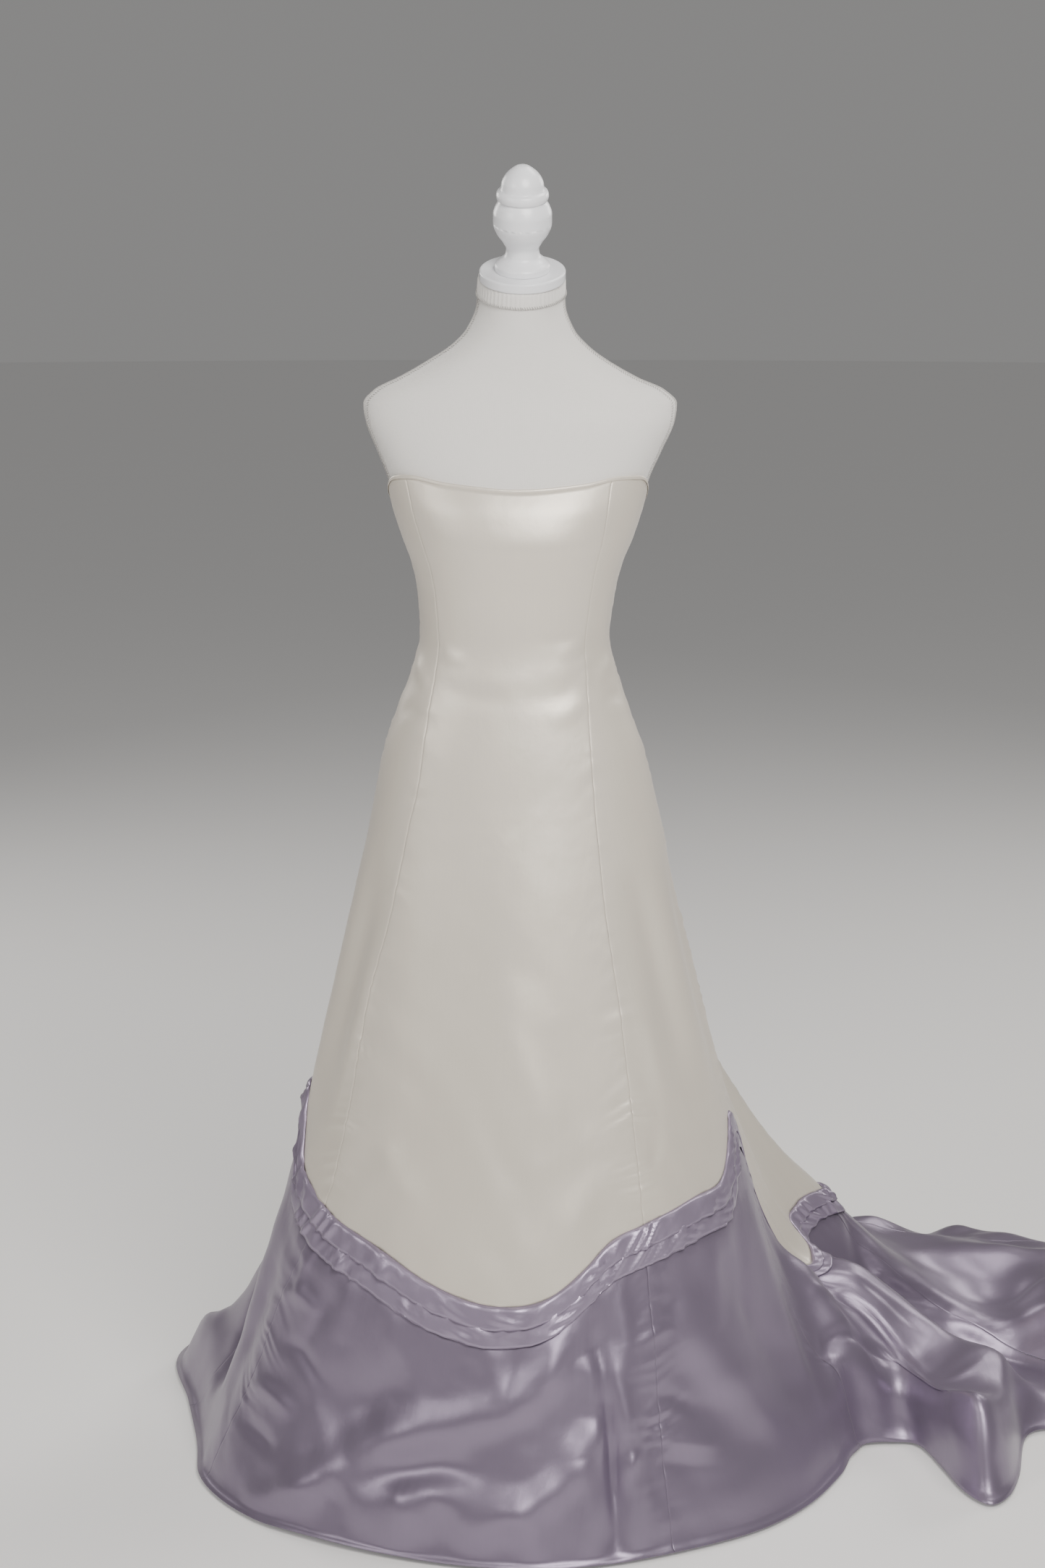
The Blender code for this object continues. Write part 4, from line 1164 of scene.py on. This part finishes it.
def make_placket():
    """The lapped placket down the centre back: a strip that stands off at its free edge."""
    level = 0.012 + 0.96 * np.linspace(0, 1, 70)[:, None] * np.ones((1, 9))
    wide = np.linspace(-0.008, 0.012, 9)
    azimuth = 180 + np.degrees(wide / 0.085)[None, :] + 0 * level
    points, out = surface(azimuth, level), normal(surface, azimuth, level)
    down = running(points, 0)
    edge = np.clip((wide + 0.008) / 0.020, 0, 1)[None, :]
    high = OUTSIDE + 0.0006 + 0.0005 * edge + 0.0005 * ripple(down, 2.2, 0.03) * edge
    high = high - 0.0003 * np.exp(-(((wide - 0.009) / 0.0012) ** 2))[None, :]
    points = points + high[..., None] * out
    uvs = np.stack([wide[None, :] + 0 * level, down], axis=-1)
    material = materials()["satin_ivory"]
    piece = cloth("back_placket_satin", points, out, -0.0005, 0.0, material, uvs)
    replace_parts(piece, "back_placket")
    declare(points, ["ivory_centre_back_right_satin", "ivory_centre_back_left_satin"])


def on_neck(points):
    """Moves points of the finial's own frame to the tilted top of the neck."""
    c, s = math.cos(NECK_TILT), math.sin(NECK_TILT)
    x, y, z = points[..., 0], points[..., 1], points[..., 2]
    return np.stack([x + NECK_TOP[0], NECK_TOP[1] + y * c - z * s, NECK_TOP[2] + y * s + z * c], axis=-1)


def neck_shear(points):
    """Leans the rings of the neck forward until the top one is square to the finial."""
    share = np.clip((points[..., 2] - 1.470) / (NECK_TOP[2] - 1.470), 0, 1)
    share = share * share * (3 - 2 * share)
    moved = points.copy()
    moved[..., 2] += share * math.tan(NECK_TILT) * (points[..., 1] - NECK_TOP[1])
    return moved


def form_point(azimuth, height):
    """A point of the form's body."""
    return neck_shear(figure(azimuth, height))


def closed_rows(name, rings, material, uvs):
    """A solid from rings that run down, closed at both ends by rings drawn to their middle."""
    top = rings[:1].mean(axis=1, keepdims=True) + 1e-4 * (rings[:1] - rings[:1].mean(axis=1, keepdims=True))
    low = rings[-1:].mean(axis=1, keepdims=True) + 1e-4 * (rings[-1:] - rings[-1:].mean(axis=1, keepdims=True))
    rings = np.concatenate([top, rings, low])
    uvs = np.concatenate([uvs[:1], uvs, uvs[-1:]])
    index, faces = grid_faces(*rings.shape[:2], ring=True)
    ends = []
    for line, turn in ((index[0, :-1], -1), (index[-1, :-1], 1)):
        half = len(line) // 2
        fans = [(line[k], line[k + 1], line[-k - 2], line[-k - 1]) for k in range(half - 1)]
        ends.append(np.array(fans)[:, ::turn])
    faces = np.concatenate([faces, *ends])
    once = float(np.ptp(uvs[..., 0])) * rings.shape[1] / (rings.shape[1] - 1)
    return put_mesh(name, rings.reshape(-1, 3), faces, material, uvs.reshape(-1, 2), once)


def turned(name, table, material, place=None, sides=96, steps=120):
    """A turned solid: its profile is a smooth curve through a table of heights and radii."""
    height, radius = column(table, "height"), column(table, "radius")
    way = np.concatenate([[0], np.cumsum(np.hypot(np.diff(height), np.diff(radius)) + 1e-6)])
    at = np.unique(np.concatenate([np.linspace(0, way[-1], steps), way]))[::-1]
    z, r = smooth(way, height, at)[:, None], smooth(way, radius, at)[:, None]
    turn = np.arange(sides) * 2 * np.pi / sides
    points = np.stack([r * np.sin(turn), -r * np.cos(turn), z + 0 * turn], axis=-1)
    uvs = np.stack([0.03 * turn + 0 * z, z + 0 * turn], axis=-1)
    return closed_rows(name, place(points) if place else points, material, uvs)


def tube(name, line, radius, material, sides=10):
    """A round cord carried along a line of points."""
    tangent = np.gradient(line, axis=0)
    tangent = tangent / np.linalg.norm(tangent, axis=-1, keepdims=True)
    side = np.cross(tangent, np.array([0.0, 1.0, 0.0]))
    side = side / np.linalg.norm(side, axis=-1, keepdims=True)
    up = np.cross(side, tangent)
    turn = np.arange(sides) * 2 * np.pi / sides
    ring = np.cos(turn)[None, :, None] * side[:, None] + np.sin(turn)[None, :, None] * up[:, None]
    rings = line[:, None] + radius * ring
    along = running(rings, 0)
    uvs = np.stack([radius * turn + 0 * along, along], axis=-1)
    return closed_rows(name, rings, material, uvs)


def make_form():
    """The body in its jersey, the corded side seams, the knit band, the disk, finial, pole and base."""
    finish = materials()
    cover, wood, metal = finish["jersey"], finish["wood"], finish["metal"]
    azimuth = np.arange(160) * 2.25
    heights = np.concatenate([np.linspace(NECK_TOP[2], 1.50, 26), np.linspace(1.498, FORM_BOTTOM, 150)])
    rings = form_point(azimuth[None, :] + 0 * heights[:, None], heights[:, None] + 0 * azimuth[None, :])
    uvs = np.stack([np.radians(azimuth)[None, :] * 0.12 + 0 * heights[:, None], heights[:, None] + 0 * azimuth], axis=-1)
    body = closed_rows("form_body_cover", rings, cover, uvs)
    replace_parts(body, "form_body")
    lines = np.linspace(1.556, 1.30, 180)
    for side, name in ((-83.0, "left"), (83.0, "right")):
        line = form_point(np.full(len(lines), side), lines)
        inner = np.full(len(lines), side * 0.91)
        tube("form_side_cord_" + name, line, 0.0014, finish["thread"])
        away = -normal(form_point, inner, lines)
        stitches("form_side_stitches_" + name, form_point(inner, lines), away, finish["thread"])
    band_up = np.linspace(1.5785, 1.556, 12)
    turn = np.arange(240) * 1.5
    band = form_point(turn[None, :] + 0 * band_up[:, None], band_up[:, None] + 0 * turn)
    out = band - band.mean(axis=1, keepdims=True)
    out[..., 2] = 0
    out = out / np.linalg.norm(out, axis=-1, keepdims=True)
    ribs = 0.00035 * np.cos(np.radians(turn) * 60)[None, :]
    edge = np.exp(-(((band_up - 1.567) / 0.011) ** 6))[:, None]
    high = 0.0008 + 0.0010 * edge + ribs
    band_uv = np.stack([np.radians(turn)[None, :] * 0.055 + 0 * band_up[:, None], band_up[:, None] + 0 * turn], axis=-1)
    piece = cloth("form_neck_band_knit", band, out, 0.0004, high, cover, band_uv, ring=True)
    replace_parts(piece, "form_neck_band")
    ring = form_point(np.arange(181) * 2.0, np.full(181, 1.5575))
    away = ring - ring.mean(axis=0)
    away[:, 2] = 0
    away = away / np.linalg.norm(away, axis=-1, keepdims=True)
    stitches("form_neck_stitches", ring + 0.0021 * away, away, finish["thread"])
    declare(np.concatenate([band, band[:, :1]], axis=1), ["form_body_cover"])
    disk = turned("form_neck_disk_turned", DISK, wood, on_neck, steps=60)
    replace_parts(disk, "form_neck_disk")
    finial = turned("form_finial_turned", FINIAL, wood, on_neck)
    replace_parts(finial, "form_finial")
    pole = [("height", "radius"), (BASE_THICK + 0.0003, 0.0001), (BASE_THICK + 0.0003, POLE_RADIUS)]
    pole += [(FORM_BOTTOM - 0.0003, POLE_RADIUS), (FORM_BOTTOM - 0.0003, 0.0001)]
    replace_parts(turned("form_pole_steel", pole, metal, sides=48, steps=40), "form_pole")
    plate = [
        ("height", "radius"),
        (0.0, 0.0001),
        (0.0, BASE_RADIUS - 0.002),
        (0.002, BASE_RADIUS),
        (BASE_THICK - 0.004, BASE_RADIUS),
        (BASE_THICK - 0.001, BASE_RADIUS - 0.002),
        (BASE_THICK, BASE_RADIUS - 0.006),
        (BASE_THICK, 0.0001),
    ]
    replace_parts(turned("form_base_steel", plate, metal, steps=80), "form_base")


def stitches(name, line, outward, material):
    """Slanted overlock stitches along a line: one short four-sided bar, repeated."""
    way = running(line[:, None], 0)[:, 0]
    at = np.arange(0.002, way[-1], 0.0032)
    slope = np.gradient(line, axis=0)
    spots, along, out = (
        np.stack([np.interp(at, way, of[:, axis]) for axis in range(3)], axis=-1) for of in (line, slope, outward)
    )
    along = along / np.linalg.norm(along, axis=-1, keepdims=True)
    out = out - (along * out).sum(axis=-1, keepdims=True) * along
    out = out / np.linalg.norm(out, axis=-1, keepdims=True)
    side = np.cross(along, out)
    slant = side + 0.5 * along
    t = np.linspace(-1, 1, 5)
    turn = np.arange(4) * np.pi / 2
    middle = spots[:, None] + 0.0022 * t[None, :, None] * slant[:, None]
    middle = middle + (0.0004 + 0.0003 * (1 - t**2))[None, :, None] * out[:, None]
    size = 0.00050 * (1 - 0.5 * t**2)[None, :, None, None]
    ring = np.cos(turn)[None, None, :, None] * along[:, None, None] + np.sin(turn)[None, None, :, None] * out[:, None, None]
    rings = middle[:, :, None] + size * ring
    count = len(at)
    index = np.arange(count * 20).reshape(count, 5, 4)
    around_it = np.concatenate([index, index[:, :, :1]], axis=2)
    corners = (around_it[:, :-1, :-1], around_it[:, :-1, 1:], around_it[:, 1:, 1:], around_it[:, 1:, :-1])
    faces = [np.stack(corners, -1).reshape(-1, 4), index[:, 0, ::-1], index[:, -1]]
    uvs = np.zeros((count * 20, 2))
    points = rings.reshape(-1, 3)
    put_mesh(name, points, np.concatenate(faces), material, uvs)


def make_stage():
    """The pale floor, the soft lights and the camera."""
    for name in ("Cube", "Light", "Camera"):
        if name in bpy.data.objects:
            bpy.data.objects.remove(bpy.data.objects[name])
    scene = bpy.context.scene
    colours = scene.dress_colours
    turn = np.arange(96) * 2 * np.pi / 96
    radius = np.array([30.0, 8.0, 3.0, 1.5, 0.01])[:, None]
    rings = np.stack([radius * np.sin(turn), -radius * np.cos(turn), 0 * radius * turn], axis=-1)
    _, faces = grid_faces(5, 96, ring=True)
    mesh = bpy.data.meshes.new("floor")
    mesh.from_pydata(rings.reshape(-1, 3).tolist(), [], faces[:, ::-1].tolist())
    floor = bpy.data.objects.new("floor", mesh)
    scene.collection.objects.link(floor)
    finish = {"Roughness": 0.7, "Specular IOR Level": 0.2, "Emission Color": (*colours.floor, 1.0)}
    shader = Shader("floor_surface", {**finish, "Emission Strength": 0.20})
    speckle = shader.noise(shader.place, 3.0, 5.0)
    shade = shader.mix(speckle, tint(colours.floor, 0.985), tint(colours.floor, 1.01))
    mesh.materials.append(shader.finish(shade))
    world = bpy.data.worlds.new("studio")
    scene.world = world
    world.use_nodes = True
    nodes, links = world.node_tree.nodes, world.node_tree.links
    seen = nodes["Background"]
    seen.inputs["Color"].default_value = (0.80, 0.79, 0.78, 1.0)
    seen.inputs["Strength"].default_value = 0.315
    glow = nodes.new("ShaderNodeBackground")
    glow.inputs["Color"].default_value = (0.80, 0.79, 0.78, 1.0)
    glow.inputs["Strength"].default_value = 0.11
    either = nodes.new("ShaderNodeMixShader")
    links.new(nodes.new("ShaderNodeLightPath").outputs["Is Camera Ray"], either.inputs[0])
    links.new(glow.outputs[0], either.inputs[1])
    links.new(seen.outputs[0], either.inputs[2])
    links.new(either.outputs[0], nodes["World Output"].inputs["Surface"])
    for name, spot, target, size, power in (
        ("key", (0.7, -2.3, 2.55), (0.0, 0.0, 1.1), 1.6, 106.0),
        ("left", (-2.4, -2.2, 2.3), (0.0, 0.0, 0.8), 1.3, 30.0),
        ("top", (1.2, 0.6, 3.4), (0.5, 0.1, 0.2), 1.1, 30.0),
        ("back_left", (-2.6, 2.6, 2.4), (0.0, 0.2, 0.8), 1.6, 52.0),
        ("back_right", (2.8, 2.8, 2.6), (0.3, 0.3, 0.5), 1.6, 46.0),
    ):
        data = bpy.data.lights.new(name, "AREA")
        data.shape = "DISK"
        data.size = size
        data.energy = power
        data.color = (1.0, 0.975, 0.94)
        light = bpy.data.objects.new(name, data)
        scene.collection.objects.link(light)
        light.location = spot
        light.visible_camera = False
        away = np.array(spot) - np.array(target)
        flat = math.hypot(away[0], away[1])
        light.rotation_euler = (math.atan2(flat, away[2]), 0.0, math.atan2(away[0], -away[1]))
    data = bpy.data.cameras.new("camera")
    data.sensor_width = 36.0
    data.sensor_fit = "AUTO"
    data.lens = 63.05
    camera = bpy.data.objects.new("camera", data)
    scene.collection.objects.link(camera)
    camera.location = (0.0, -3.5, 1.65)
    camera.rotation_euler = (math.radians(90 - 11.6), 0.0, 0.0)
    scene.camera = camera


class DressSizes(bpy.types.PropertyGroup):
    """Sizes that a user may change."""

    cloth_thickness: bpy.props.FloatProperty(
        name="Cloth thickness", description="Thickness of the satin with its underlining", default=0.0008, min=0.0002, max=0.003, unit="LENGTH"
    )
    seam_gap: bpy.props.FloatProperty(
        name="Seam gap", description="Space between two gores at their seam", default=0.0004, min=0.0, max=0.002, unit="LENGTH"
    )
    tuck_width: bpy.props.FloatProperty(
        name="Tuck width", description="Depth of each tuck over the border", default=0.030, min=0.005, max=0.08, unit="LENGTH"
    )
    tuck_lap: bpy.props.FloatProperty(
        name="Tuck lap", description="How far the upper tuck laps the lower one", default=0.004, min=0.0, max=0.02, unit="LENGTH"
    )
    seam_gather: bpy.props.FloatProperty(
        name="Seam gather", description="How much the cloth is gathered at its seams", default=1.0, min=0.0, max=3.0, subtype="FACTOR"
    )
    crease_depth: bpy.props.FloatProperty(
        name="Crease depth", description="How deep the creases are", default=1.0, min=0.0, max=2.0, subtype="FACTOR"
    )


def colour_property(name, description, default):
    """A colour that a user may change."""
    return bpy.props.FloatVectorProperty(
        name=name, description=description, default=default, min=0.0, max=1.0, size=3, subtype="COLOR"
    )


class DressColours(bpy.types.PropertyGroup):
    """Colours that a user may change."""

    ivory: colour_property("Ivory", "Satin of the bodice and skirt", (0.72, 0.665, 0.58))
    lavender: colour_property("Lavender", "Satin of the border and tucks", (0.25, 0.208, 0.285))
    jersey: colour_property("Jersey", "Cover of the dress form", (0.76, 0.74, 0.71))
    wood: colour_property("Wood", "Neck disk and finial", (0.80, 0.81, 0.84))
    metal: colour_property("Metal", "Pole and base", (0.75, 0.75, 0.75))
    floor: colour_property("Floor", "Studio floor", (0.80, 0.79, 0.78))


class DRESS_OT_stage(bpy.types.Operator):
    """Makes the floor, the lights and the camera"""

    bl_idname = "dress.stage"
    bl_label = "Stage"

    def execute(self, context):
        make_stage()
        return {"FINISHED"}


class DRESS_OT_form(bpy.types.Operator):
    """Makes the dress form and its stand"""

    bl_idname = "dress.form"
    bl_label = "Dress form"

    def execute(self, context):
        make_form()
        return {"FINISHED"}


class DRESS_OT_ivory(bpy.types.Operator):
    """Makes the ivory gores of the bodice and skirt"""

    bl_idname = "dress.ivory"
    bl_label = "Ivory gores"

    def execute(self, context):
        for gore in rows_of(GORES):
            make_ivory(gore)
        return {"FINISHED"}


class DRESS_OT_border(bpy.types.Operator):
    """Makes the lavender border of each gore"""

    bl_idname = "dress.border"
    bl_label = "Lavender border"

    def execute(self, context):
        for gore in rows_of(GORES):
            make_border(gore)
        return {"FINISHED"}


class DRESS_OT_tucks(bpy.types.Operator):
    """Makes the two tucks at the head of the border"""

    bl_idname = "dress.tucks"
    bl_label = "Tucks"

    def execute(self, context):
        for row in rows_of(TRIM):
            for which in ("lower", "upper"):
                make_tucks(row, which)
        return {"FINISHED"}


class DRESS_OT_edges(bpy.types.Operator):
    """Makes the bound top edge and the placket down the back"""

    bl_idname = "dress.edges"
    bl_label = "Binding and placket"

    def execute(self, context):
        make_binding()
        make_placket()
        return {"FINISHED"}


class DRESS_PT_panel(bpy.types.Panel):
    """The sidebar's list of pieces, sizes and colours."""

    bl_label = "Wedding dress"
    bl_idname = "DRESS_PT_panel"
    bl_space_type = "VIEW_3D"
    bl_region_type = "UI"
    bl_category = "Dress"

    def draw(self, context):
        for operator in OPERATORS:
            self.layout.operator(operator.bl_idname)
        for group in (context.scene.dress_sizes, context.scene.dress_colours):
            for name in group.__annotations__:
                self.layout.prop(group, name)


OPERATORS = (DRESS_OT_stage, DRESS_OT_form, DRESS_OT_ivory, DRESS_OT_border, DRESS_OT_tucks, DRESS_OT_edges)
CLASSES = (DressSizes, DressColours, *OPERATORS, DRESS_PT_panel)


def register():
    """Registers the classes and hangs the sizes and colours on the scene."""
    for kind in CLASSES:
        bpy.utils.register_class(kind)
    bpy.types.Scene.dress_sizes = bpy.props.PointerProperty(type=DressSizes)
    bpy.types.Scene.dress_colours = bpy.props.PointerProperty(type=DressColours)


def unregister():
    """Takes back what register did."""
    del bpy.types.Scene.dress_colours
    del bpy.types.Scene.dress_sizes
    for kind in reversed(CLASSES):
        bpy.utils.unregister_class(kind)


def main():
    """Makes every piece in order."""
    register()
    bpy.ops.dress.stage()
    bpy.ops.dress.form()
    bpy.ops.dress.ivory()
    bpy.ops.dress.border()
    bpy.ops.dress.tucks()
    bpy.ops.dress.edges()


if __name__ == "__main__":
    main()
